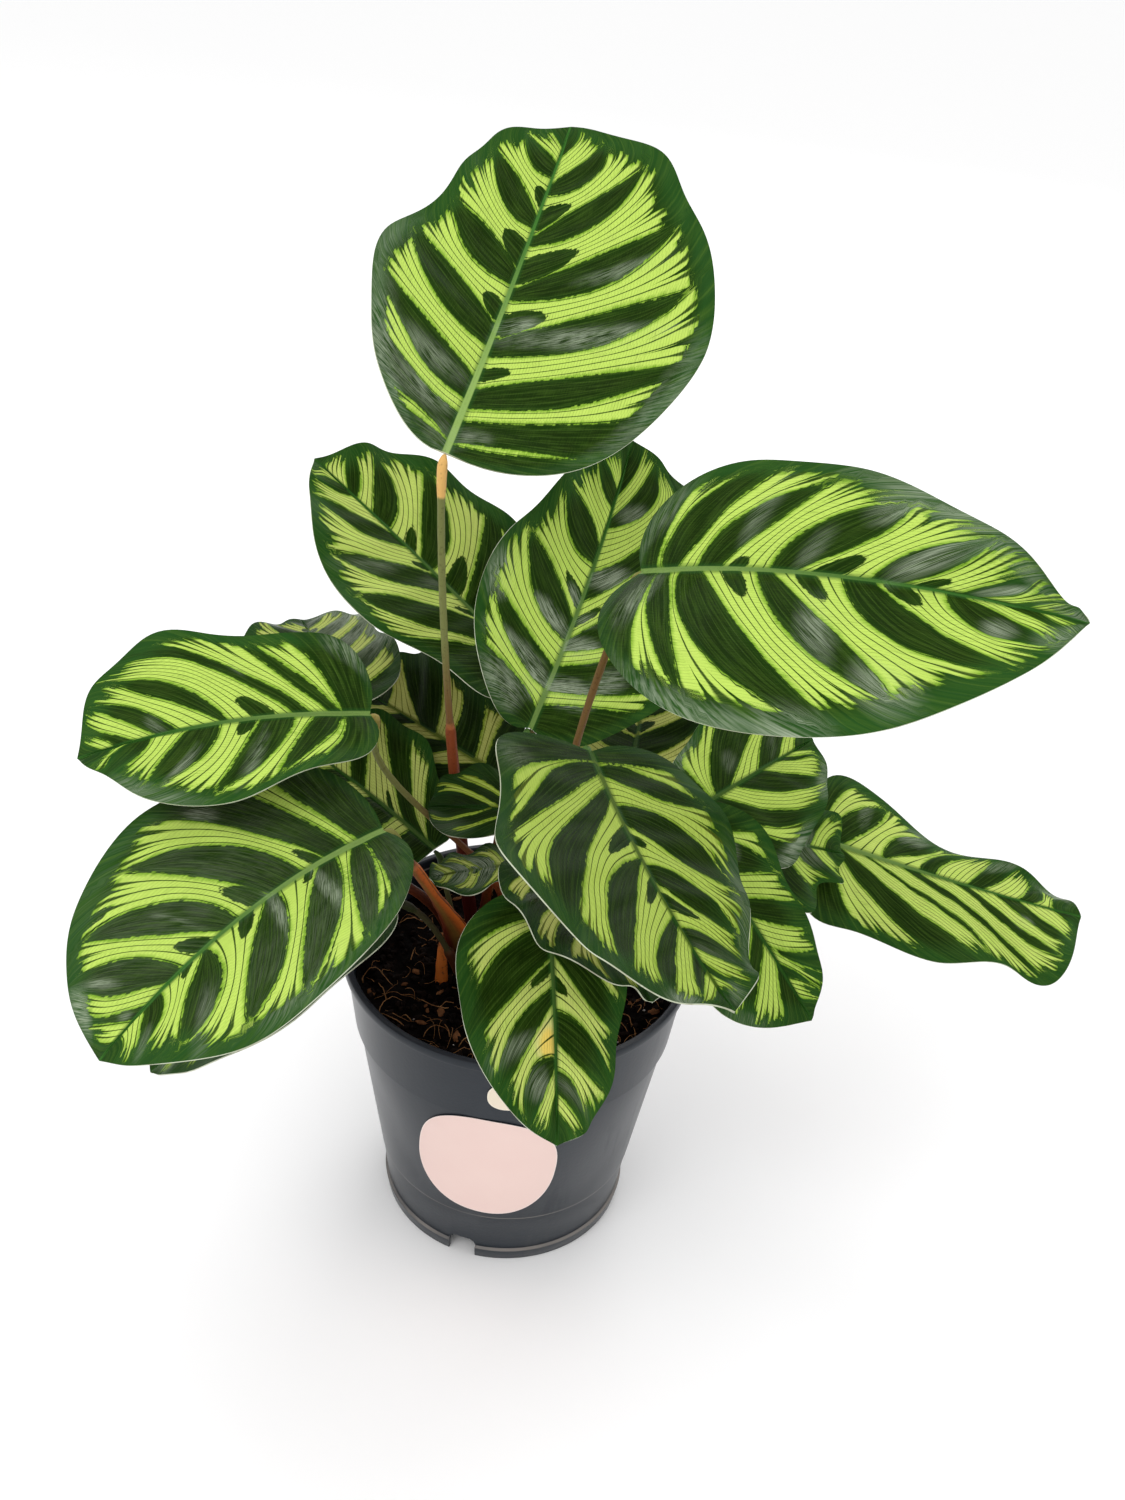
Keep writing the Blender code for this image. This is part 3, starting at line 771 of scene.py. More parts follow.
@dataclass(frozen=True)
class StickerFinish:
    """Plain satin paper sticker with a paler border line.

    The mesh gives sticker_place: the way in from the rim in mm, and two flat coordinates in mm.
    """

    face: Colour = tint(233, 204, 196)
    border: Colour = tint(246, 232, 226)
    wash: Colour = tint(238, 214, 204)
    fibre: Colour = tint(200, 168, 160)

    def material(self, name: str) -> bpy.types.Material:
        """Make the material.

        Args:
            name: Its name.

        Returns:
            The material.
        """
        shader = Shader(name)
        inward, x, y = shader.field("sticker_place")
        flat = shader.vector(x, y)
        fibre = shader.cloud(flat, 3.0, 4.0, 0.6)
        colour = shader.coats(
            self.face,
            ((shader.cloud(flat, 0.06) - 0.3) * 0.8, self.wash),
            (inward.between(0.4, 0.1) * 0.7, self.border),
            (fibre * 0.06, self.fibre),
        )
        return shader.finish(colour, 0.46 + (fibre - 0.5) * 0.1, relief=(fibre, 0.00005, 0.4))


# ------------------------------------------------------------------ leaves

VEIN_SWEEP = 0.65
BASE_LOBE = 0.06
TIP_LENGTH = 0.02
BAND_ROWS = (0.05, 0.45, 0.85)
BAND_REACH = 0.88
BAND_SPAN = 0.88
OVAL_MIDDLE = 0.42
OVAL_SIZE = 0.62

Patch = tuple[float, float, float, float, float]


class Side(Enum):
    """Half of a blade, seen from its base with the upper face up."""

    LEFT = -1
    RIGHT = 1


@dataclass(frozen=True)
class Half:
    """Light bands of half a blade.

    inner, middle and outer hold the bands' edges along the midrib, two for each band, as shares of its
    length: close to the midrib, halfway to the margin and close to the margin. ovals are the small dark
    ovals at the midrib: place, reach towards the margin and width.
    """

    inner: tuple[float, ...]
    middle: tuple[float, ...]
    outer: tuple[float, ...]
    ovals: tuple[tuple[float, float, float], ...] = ()

    def read(self, u: Array, v: Array, length: float) -> tuple[Array, ...]:
        """Read the bands at points.

        Args:
            u: Places along the midrib.
            v: Places out from it, 0 to 1.
            length: The blade's length in mm.

        Returns:
            Place along the midrib of the point's vein, number of the nearest band, place across it from
            0 to 1, mm inside its sides, and mm inside an oval.
        """
        inner, middle, outer = (np.array((-0.05, *row, 1.05))
                                for row in (self.inner, self.middle, self.outer))
        a, b, c = BAND_ROWS
        first = (v - b) * (v - c) / ((a - b) * (a - c))
        second = (v - a) * (v - c) / ((b - a) * (b - c))
        third = (v - a) * (v - b) / ((c - a) * (c - b))
        knots = first[:, None] * inner + second[:, None] * middle + third[:, None] * outer
        knots = np.maximum.accumulate(knots + np.arange(len(inner)) * 1e-4, axis=1)
        rows = np.arange(len(u))
        step = np.clip((u[:, None] >= knots).sum(1) - 1, 0, len(inner) - 2)
        low, high = knots[rows, step], knots[rows, step + 1]
        share = np.clip((u - low) / (high - low), 0, 1)
        vein = middle[step] + share * (middle[step + 1] - middle[step])
        root = inner[step] + share * (inner[step + 1] - inner[step])
        band = np.clip((step + (share > 0.5) - 1) // 2, 0, len(self.inner) // 2 - 1)
        low, high = knots[rows, band * 2 + 1], knots[rows, band * 2 + 2]
        across = (u - low) / np.maximum(high - low, 1e-3)
        inside = np.minimum(u - low, high - u) * length
        oval = np.full(u.shape, -9.0)
        for place, reach, width in self.ovals:
            far = np.hypot((root - place) / (width * OVAL_SIZE),
                           (v - reach * OVAL_MIDDLE) / (reach * OVAL_SIZE))
            oval = np.maximum(oval, (1 - far) * width * length * 0.5)
        return vein, band, across, inside, oval


def half(inner: Sequence[int], middle: Sequence[int], outer: Sequence[int], *ovals: Sequence[int]) -> Half:
    """A half whose bands and ovals are given in thousandths."""
    rows, spots = ([tuple(n / 1000 for n in row) for row in part] for part in ((inner, middle, outer), ovals))
    return Half(*rows, tuple(spots))


def plain_half(seed: int, bands: int) -> Half:
    """A regular half for blades that are mostly hidden.

    Args:
        seed: Fixes the random draw.
        bands: How many light bands it has.

    Returns:
        The half.
    """
    draw = random.Random(seed)
    step = BAND_SPAN / bands
    rows = ([], [], [])
    ovals = []
    for k in range(bands):
        start = 0.07 + step * (k + draw.uniform(0.0, 0.12))
        for row, shift, share in zip(rows, (0.0, 0.045, 0.10), (0.46, 0.40, 0.55)):
            left = start + shift * (1 - k / bands)
            row += [left, left + step * share]
        if k % 2:
            ovals.append((start + step * 0.2, 0.22, step * 0.22))
    return Half(*map(tuple, rows), tuple(ovals))


@dataclass(frozen=True)
class Pattern:
    """Pattern of one blade: its halves, spots of painted silvery sheen, painted shade, yellowing and how
    light its midrib is.

    Each sheen spot is a place along the midrib, a place across it from -1 to 1, its half length, its half
    width and its strength. Blotches are given the same way and mark where the blade yellows more.
    """

    left: Half
    right: Half
    sheen_spots: tuple[Patch, ...] = ()
    blotches: tuple[Patch, ...] = ()
    shade: float = 0.0
    yellow: float = 0.1
    rib: float = 0.2


def spread(patch: Patch, u: Array, v: Array) -> Array:
    """Strength of a patch at points along and across the blade."""
    along, beside, long, wide, strength = patch
    return strength * np.clip(1.5 - np.hypot((u - along) / long, (v - beside) / wide), 0, 1)


@dataclass(frozen=True)
class Leaf:
    """One leaf, in the terms of the solid that it dresses.

    base is where blade and stalk meet. heading, pitch and roll turn the blade, in degrees. left and right
    are the half widths at every sixth of the midrib. droop (never 0), fold, twist and cup bend the blade.
    ripple, ripples and phase describe its waved margin. root is the stalk's place in the soil, and rise
    and fall are the handles of its curve. sheath is how much wider than deep the stalk's foot is. stalk
    holds the top of its sheath as a share of it, how orange the joint is and how warm the rest is, or,
    below 0, how deep the stalk lies in painted shadow.
    """

    name: str
    base: tuple[float, float, float]
    heading: float
    pitch: float
    roll: float
    length: float
    left: tuple[float, ...]
    right: tuple[float, ...]
    droop: float
    fold: float
    twist: float
    cup: float
    ripple: float
    ripples: float
    phase: float
    root: tuple[float, float]
    rise: tuple[float, ...] = ()
    fall: tuple[float, ...] = ()
    sheath: float = 1.0
    stalk: tuple[float, float, float] = (0.45, 0.0, 0.3)

    @property
    def seed(self) -> int:
        """A fixed number for this leaf."""
        return sum((k + 1) * ord(letter) for k, letter in enumerate(self.name)) % 997

    def axes(self) -> tuple[Array, Array, Array]:
        """Find which way the blade faces.

        Returns:
            Unit vectors along the midrib, to the right of it and out of the upper face.
        """
        heading, pitch, roll = (math.radians(v) for v in (self.heading, self.pitch, self.roll))
        along = np.array([*polar(math.cos(pitch), heading), math.sin(pitch)])
        flat_up = np.array([*polar(-math.sin(pitch), heading), math.cos(pitch)])
        flat_right = np.cross(along, flat_up)
        up = flat_up * math.cos(roll) + flat_right * math.sin(roll)
        return along, flat_right * math.cos(roll) - flat_up * math.sin(roll), up


def station_curve(values: Sequence[float], place: Array) -> Array:
    """Smooth curve through values at 0, 1, 2 and so on.

    Args:
        values: The values.
        place: Where it is read.

    Returns:
        The curve there.
    """
    padded = np.concatenate([[2 * values[0] - values[1]], values, [2 * values[-1] - values[-2]]])
    step = np.clip(np.floor(place).astype(int), 0, len(values) - 2)
    f = place - step
    a, b, c, d = (padded[step + k] for k in range(4))
    return b + 0.5 * f * (c - a + f * (2 * a - 5 * b + 4 * c - d + f * (3 * (b - c) + d - a)))


def outline(widths: Sequence[float], s: Array) -> tuple[Array, Array]:
    """Blade margin at s, from 0 at the base to 1 at the tip.

    Args:
        widths: Half widths at every sixth of the midrib.
        s: Places along the margin.

    Returns:
        Place along the midrib and half width.
    """
    turn = np.pi * s
    back = np.clip(s / 0.42, 0, 1)
    tip = np.clip((s - 0.88) / 0.12, 0, 1)
    along = 0.5 * (1 - np.cos(turn)) - BASE_LOBE * 4 * back * (1 - back) ** 2 + TIP_LENGTH * tip ** 3
    stations = np.arange(1, len(widths) + 1) / (len(widths) + 1)
    fullness = np.array(widths) / np.sin(np.pi * stations)
    fullness = np.concatenate([fullness[:1], fullness, fullness[-1:]])
    return along / (1 + TIP_LENGTH), np.sin(turn) * station_curve(fullness, s * (len(widths) + 1))


@dataclass
class Blade:
    """A leaf's blade: patterned upper face, purple lower face and a thin pale edge."""

    leaf: Leaf
    pattern: Pattern
    thickness: float = 0.4
    row_step: float = 1.2
    half_columns: int = 24
    vein_step: float = 1.9
    pleat_step: float = 9.5
    rib_height: float = 0.9

    def surface(self, u: Array, v: Array) -> Array:
        """Middle surface of the blade.

        Args:
            u: Places along the midrib, 0 to 1.
            v: Places across it, -1 to 1.

        Returns:
            Points in millimetres.
        """
        leaf = self.leaf
        across, side = np.abs(v), np.sign(v)
        s = u ** VEIN_SWEEP
        edge, width = (np.where(v >= 0, right, left)
                       for left, right in zip(outline(leaf.left, s), outline(leaf.right, s)))
        x = u + (edge - u) * (0.72 * across + 0.28 * across ** 3)
        wave = np.sin(2 * np.pi * leaf.ripples * u + math.radians(leaf.phase) + side * 1.1)
        wave = leaf.ripple * wave * np.sqrt(np.clip(np.sin(np.pi * u), 0, None))
        y = side * (width * across + 0.6 * wave * across ** 3)
        z = np.abs(y) * math.tan(math.radians(leaf.fold)) - leaf.cup * y * y / 60 + wave * across ** 2
        y = y * math.cos(math.radians(leaf.fold))
        droop, turn = math.radians(leaf.droop), math.radians(leaf.twist) * (x - 0.5)
        lean = droop * (x - 0.5)
        rib_x = leaf.length * (np.sin(lean) + math.sin(droop / 2)) / droop
        rib_z = leaf.length * (np.cos(lean) - math.cos(droop / 2)) / droop
        y, z = y * np.cos(turn) - z * np.sin(turn), y * np.sin(turn) + z * np.cos(turn)
        along, right, up = leaf.axes()
        return (np.array(leaf.base, float) + (rib_x + z * np.sin(lean))[..., None] * along
                + y[..., None] * right + (rib_z + z * np.cos(lean))[..., None] * up)

    def normals(self, u: Array, v: Array) -> Array:
        """Find which way the upper face looks.

        Args:
            u: Places along the midrib.
            v: Places across it.

        Returns:
            Unit normals.
        """
        step = 0.002
        ahead = self.surface(np.clip(u + step, 0, 1), v) - self.surface(np.clip(u - step, 0, 1), v)
        aside = self.surface(u, np.clip(v + step, -1, 1)) - self.surface(u, np.clip(v - step, -1, 1))
        normal = np.cross(aside, ahead)
        return normal / np.linalg.norm(normal, axis=-1, keepdims=True)

    def fields(self, u: Array, v: Array) -> dict[str, Array]:
        """Work out the vector fields that the finish reads.

        Args:
            u: Places along the midrib.
            v: Places across it.

        Returns:
            The fields by name.
        """
        leaf, pattern = self.leaf, self.pattern
        across = np.abs(v)
        s = u ** VEIN_SWEEP
        width = 1.1 * np.where(v >= 0, outline(leaf.right, s)[1], outline(leaf.left, s)[1])
        place, band, mark = (np.zeros((len(u), 3)) for _ in range(3))
        for side, part in ((Side.LEFT, pattern.left), (Side.RIGHT, pattern.right)):
            here = (v >= 0) if side is Side.RIGHT else (v < 0)
            vein, number, share, inside, oval = part.read(u[here], across[here], leaf.length)
            draw = np.random.default_rng(leaf.seed + side.value)
            count = len(part.inner) // 2
            lengths, wedges = draw.uniform(-0.03, 0.03, count), draw.uniform(0.08, 0.24, count)
            fingers = np.where(np.diff(np.array(part.outer))[::2] * leaf.length > 10, 3, 2)
            reach = BAND_REACH + lengths[number] - 0.22 * np.clip((u[here] - 0.72) / 0.28, 0, 1) ** 2
            place[here, 0] = vein * leaf.length / self.vein_step + 300 * side.value
            band[here, 0] = share * fingers[number] + number * 8
            band[here, 1] = inside
            band[here, 2] = (reach - across[here]) * width[here]
            mark[here, 0] = oval
            mark[here, 2] = wedges[number] * width[here]
        place[:, 1] = across * width
        place[:, 2] = width - across * width
        # painted shade: leaf_tone carries how deep in shade the blade is painted
        tone = np.tile([float(leaf.seed % 61), pattern.shade, pattern.yellow], (len(u), 1))
        # painted silvery sheen: each point keeps its strongest sheen spot in leaf_mark
        for patch in pattern.sheen_spots:
            mark[:, 1] = np.maximum(mark[:, 1], spread(patch, u, v))
        for blotch in pattern.blotches:
            tone[:, 2] += spread(blotch, u, v)
        rib_width = (0.30 + 0.65 * (1 - u)) * (0.9 + 0.4 * pattern.rib)
        rib = np.stack([place[:, 1] / rib_width, u, np.full(len(u), pattern.rib)], -1)
        return {"leaf_place": place, "leaf_band": band, "leaf_mark": mark, "leaf_rib": rib, "leaf_tone": tone}

    def relief(self, u: Array, v: Array) -> Array:
        """Small height of the living surface: rib, pleats between the main veins, slight unevenness.

        Args:
            u: Places along the midrib.
            v: Places across it.

        Returns:
            Heights in millimetres.
        """
        leaf = self.leaf
        across = np.abs(v)
        rib = 0.30 * np.exp(-(across * 60) ** 2) - 0.35 * np.exp(-((across - 0.045) * 42) ** 2)
        pleat = np.sin(2 * np.pi * u * leaf.length / self.pleat_step + leaf.seed)
        uneven = np.array([noise.noise(Vector((a * leaf.length * 0.05, b * 1.7, leaf.seed * 0.37)))
                           for a, b in zip(u, v)])
        fade = np.clip(np.minimum(u, 1 - u) * 12, 0, 1)
        return (rib + 0.30 * pleat * np.sin(np.pi * across) ** 0.8 + 0.9 * uneven * across) * fade

    def build(self, materials: Sequence[bpy.types.Material]) -> bpy.types.Object:
        """Make the blade.

        Args:
            materials: Those of the upper face, the lower face and the edge.

        Returns:
            The blade, standing for the solid of its name.
        """
        leaf = self.leaf
        rows = max(36, int(leaf.length / self.row_step))
        out = np.linspace(0, 1, self.half_columns + 1) ** 1.35
        v_values = np.concatenate([-out[:0:-1], out])
        even = np.linspace(0, 1, rows + 2)[1:-1]
        u_values = (1 - np.cos(np.pi * even)) / 2 * 0.35 + even * 0.65
        u, v = (part.ravel() for part in np.meshgrid(u_values, v_values, indexing="ij"))
        u, v = np.append(u, [0.0, 1.0]), np.append(v, [0.0, 0.0])
        middle, normal = self.surface(u, v), self.normals(np.clip(u, 0.01, 0.99), v)
        lift, fields = self.relief(u, v), self.fields(u, v)
        ridge = self.rib_height * (1 - 0.75 * u) * np.exp(-(fields["leaf_place"][:, 1] / 0.9) ** 2)
        thick = self.thickness / 2 + ridge * np.clip(u * 20, 0.5, 1)
        columns = len(v_values)
        base, last = rows * columns, (rows - 1) * columns
        sheet = grid_faces(rows, columns)
        sheet += [(base, j + 1, j) for j in range(columns - 1)]
        sheet += [(base + 1, last + j, last + j + 1) for j in range(columns - 1)]
        made = Surface()
        made.add(middle + normal * (lift + self.thickness / 2)[:, None], sheet, 0, **fields)
        made.add(middle + normal * (lift - thick)[:, None], [face[::-1] for face in sheet], 1, **fields)
        edge = ([base] + [i * columns for i in range(rows)] + [base + 1]
                + [i * columns + columns - 1 for i in reversed(range(rows))])
        size = len(u)
        made.join([(a, b, b + size, a + size) for a, b in zip(edge, edge[1:] + edge[:1])], 2)
        return seat(made.build(leaf.name + "_blade", materials, crease=70), leaf.name)


@dataclass
class Stalk:
    """A leaf's stalk, from its sheath in the soil to the joint under the blade."""

    leaf: Leaf
    foot: float = 88.0
    ground: float = 99.5
    radius: float = 1.15
    sheath_radius: float = 2.5
    joint_radius: float = 1.5
    joint_length: float = 3.0
    joint_skin: float = 13.0
    full_length: float = 105.0
    rings: int = 56
    sides: int = 16

    def route(self) -> Array:
        """Lay the stalk's middle line.

        Returns:
            Points from the foot to the back of the blade.
        """
        leaf = self.leaf
        along, _, up = leaf.axes()
        tilt = math.radians(leaf.droop / 2)
        along, up = (along * math.cos(tilt) + up * math.sin(tilt),
                     up * math.cos(tilt) - along * math.sin(tilt))
        foot = np.array([*leaf.root, self.foot], float)
        ground = np.array([*leaf.root, self.ground], float)
        end = np.array(leaf.base, float) - along * 0.3 - up * 1.0
        joint = end - along * self.joint_length
        span = joint - ground
        low = ground + (np.array(leaf.rise) if leaf.rise else span * np.array([0.2, 0.2, 0.38]))
        high = joint + (np.array(leaf.fall) if leaf.fall else -span * np.array([0.12, 0.12, 0.3]))
        t = np.linspace(0, 1, self.rings)[:, None]
        curve = ((1 - t) ** 3 * ground + 3 * (1 - t) ** 2 * t * low + 3 * (1 - t) * t * t * high
                 + t ** 3 * joint)
        steps = np.linspace(0, 1, 5)[1:, None]
        route = np.concatenate([[foot], curve, joint + (end - joint) * steps])
        for _ in range(6):
            route[-9:-2] += 0.35 * (route[-10:-3] + route[-8:-1] - 2 * route[-9:-2])
        return route

    def build(self, skin: bpy.types.Material) -> bpy.types.Object:
        """Make the stalk.

        Args:
            skin: Its material.

        Returns:
            The stalk, standing for the solid of its name.
        """
        leaf = self.leaf
        route = self.route()
        way = np.concatenate([[0], np.cumsum(np.linalg.norm(np.diff(route, axis=0), axis=1))])
        up, left = way / way[-1], way[-1] - way
        top, orange, warm = leaf.stalk
        node = np.clip((top + 0.012 - up) / 0.024, 0, 1)
        sheath = node * (0.45 + 0.55 * np.clip(1 - (up - 0.08) / 0.4, 0, 1))
        joint = np.clip((way - (way[-1] - self.joint_skin)) / 2.5, 0, 1)
        joint *= np.clip((way[-1] + 3 - way) / 4, 0.3, 1)
        radii = self.radius + (self.sheath_radius - self.radius) * sheath
        radii = min(1.0, math.sqrt(leaf.length / self.full_length)) * (
            radii + (self.joint_radius - self.radius) * joint)
        radii = radii * (1 + 0.03 * np.sin(way * 0.6 + leaf.seed)) * np.clip((left + 2.2) / 4.5, 0.5, 1)
        swell = 1 + (leaf.sheath - 1) * np.clip(np.minimum((up - 0.06) / 0.12, (0.62 - up) / 0.35), 0, 1)
        points, faces = tube(route, radii, self.sides, swell)
        place = np.array([(far, turn, way[-1] - far) for far in way for turn in circle(self.sides, 1.0)])
        tone = np.tile((top * way[-1], orange, warm), (len(place), 1))
        made = Surface()
        made.add(points, faces, stalk_place=place, stalk_tone=tone)
        solid = leaf.name.replace("leaf", "stalk")
        return seat(made.build(solid + "_skin", [skin], crease=50), solid)


LEAVES = (
    Leaf("leaf_crown", (-31, 14, 280), 75, 32, 11, 137, (21, 37, 42, 29, 22), (35, 58, 67, 53, 33),
         droop=-15, fold=16, twist=28, cup=0.05, ripple=1.2, ripples=4, phase=57,
         root=(-17, 21), rise=(-7, -2, 50), fall=(0, 5, -62), stalk=(0.508, 1.0, 0.0)),
    Leaf("leaf_rear_left", (-1, 55, 185), 158, 35, -14, 106, (22, 29, 39, 33, 15), (21, 34, 40, 33, 20),
         droop=5, fold=10, twist=0, cup=0.10, ripple=1.7, ripples=3.7, phase=29,
         root=(-5, 38)),
    Leaf("leaf_rear_middle", (-1, 24, 182), 69, 43, 42, 110, (19, 37, 36, 23, 12), (22, 41, 43, 37, 26),
         droop=21, fold=13, twist=1, cup=0.15, ripple=2.3, ripples=4.2, phase=46,
         root=(2, 28)),
    Leaf("leaf_right_high", (27, -26, 265), 325, 13, 42, 125, (18, 32, 27, 21, 7), (26, 46, 52, 42, 20),
         droop=36, fold=22, twist=-12, cup=0.25, ripple=1.7, ripples=3.2, phase=92,
         root=(12, 11), rise=(-7, -6, 62), fall=(-9, 8, -41), stalk=(0.4, 0.2, 0.9)),
    Leaf("leaf_front_broad", (17, -36, 212), 290, -5, -8, 104, (21, 26, 26, 16, 10), (30, 39, 47, 34, 22),
         droop=-16, fold=11, twist=-14, cup=-0.10, ripple=1.8, ripples=3.5, phase=-132,
         root=(11, 1), rise=(1, -7, 43), fall=(-3, 17, -33), stalk=(0.5, 0.0, 0.1)),
    Leaf("leaf_front_low", (8, -38, 159), 276, -30, -16, 75, (14, 21, 22, 16, 11), (17, 30, 30, 24, 12),
         droop=13, fold=8, twist=2, cup=0.15, ripple=1.6, ripples=3, phase=-80,
         root=(2, -15)),
    Leaf("leaf_front_tucked", (3, -27, 164), 301, -1, -18, 69, (12, 17, 19, 17, 11), (13, 23, 25, 24, 7),
         droop=15, fold=8, twist=3, cup=0.20, ripple=1.7, ripples=4, phase=-75,
         root=(9, -11)),
    Leaf("leaf_left_high", (-49, -17, 208), 193, -7, -22, 87, (17, 24, 33, 26, 9), (21, 28, 30, 32, 19),
         droop=36, fold=13, twist=2, cup=0.10, ripple=1.2, ripples=3, phase=-92,
         root=(-10, 12), rise=(28, -8, 36), fall=(-20, 34, -50), stalk=(0.4, 0.35, 0.2)),
    Leaf("leaf_left_broad", (-42, -40, 182), 226, -18, -8, 105, (17, 33, 41, 37, 16), (24, 38, 46, 36, 25),
         droop=49, fold=13, twist=-12, cup=0.05, ripple=1.6, ripples=2.3, phase=-40,
         root=(-15, -3), rise=(-6, -8, 30), fall=(10, 6, -26), sheath=2.8,
         stalk=(0.8, 0.2, 0.8)),
    Leaf("leaf_left_tucked", (-42, -34, 150), 212, -26, 14, 86, (19, 29, 33, 29, 14), (19, 29, 33, 29, 18),
         droop=15, fold=11, twist=-3, cup=0.15, ripple=1.1, ripples=3.2, phase=-80,
         root=(-16, -12), rise=(-8, -6, 20), fall=(12, 12, -14), stalk=(0.45, 0.0, -0.85)),
    Leaf("leaf_left_rear", (-62, 28, 183), 112, -3, -2, 72, (16, 24, 27, 26, 13), (15, 24, 24, 22, 17),
         droop=16, fold=11, twist=0, cup=0.10, ripple=1.3, ripples=3.6, phase=0,
         root=(-24, 12), rise=(-6, -14, 54), fall=(-42, -42, -44), stalk=(0.45, 0.0, -0.6)),
    Leaf("leaf_rear_inner", (-11, 37, 154), 136, 0, -38, 74, (15, 26, 28, 25, 18), (22, 21, 24, 24, 18),
         droop=17, fold=13, twist=1, cup=0.05, ripple=1.6, ripples=3.4, phase=138,
         root=(-13, 31)),
    Leaf("leaf_left_inner", (-30.5, 8.7, 141), 142, 11, -12, 67, (26, 24, 25, 22, 15), (14, 20, 28, 29, 17),
         droop=15, fold=11, twist=4, cup=0.05, ripple=1.6, ripples=3.2, phase=29,
         root=(-20, 4), stalk=(0.45, 0.0, -0.6)),
    Leaf("leaf_centre_small", (3, 3, 163), 178, -3, -23, 36, (7, 10, 13, 13, 8), (8, 13, 15, 14, 8),
         droop=15, fold=9, twist=1, cup=0.10, ripple=1.2, ripples=3, phase=-17,
         root=(1, 8)),
    Leaf("leaf_centre_curled", (-3, -11, 151), 194, -5, -8, 28, (6, 7, 12, 10, 5), (6, 9, 8, 6, 5),
         droop=13, fold=8, twist=0, cup=0.15, ripple=1.3, ripples=3, phase=-160,
         root=(-3, -2)),
    Leaf("leaf_right_inner", (53, 5, 165), 47, 1, 34, 69, (14, 21, 26, 23, 14), (15, 31, 30, 22, 14),
         droop=11, fold=6, twist=-1, cup=0.15, ripple=1.1, ripples=3, phase=172,
         root=(21, 14)),
    Leaf("leaf_right_front", (48, -15, 177), 310, -30, 15, 74, (13, 21, 16, 15, 7), (14, 23, 26, 26, 17),
         droop=16, fold=7, twist=1, cup=0.15, ripple=0.9, ripples=3.1, phase=80,
         root=(19, 1)),
    Leaf("leaf_right_tucked", (67, 18, 149), 23, -21, 36, 56, (13, 18, 19, 19, 13), (12, 17, 27, 15, 10),
         droop=16, fold=10, twist=-3, cup=0.10, ripple=2.4, ripples=3.1, phase=-17,
         root=(23, 24)),
    Leaf("leaf_right_far", (103, 45, 132), 353, -11, 17, 104, (27, 28, 18, 14, 13), (26, 31, 34, 29, 30),
         droop=-7, fold=0, twist=18, cup=0.25, ripple=2.9, ripples=2.3, phase=63,
         root=(17, 34), rise=(0, 0, 45), fall=(-26, 4, 7)),
    Leaf("leaf_rear_right", (34, 30, 157), 82, 12, -9, 67, (14, 23, 24, 21, 13), (14, 22, 25, 23, 13),
         droop=7, fold=3, twist=4, cup=0.20, ripple=1.9, ripples=2.7, phase=-34,
         root=(9, 22)),
)

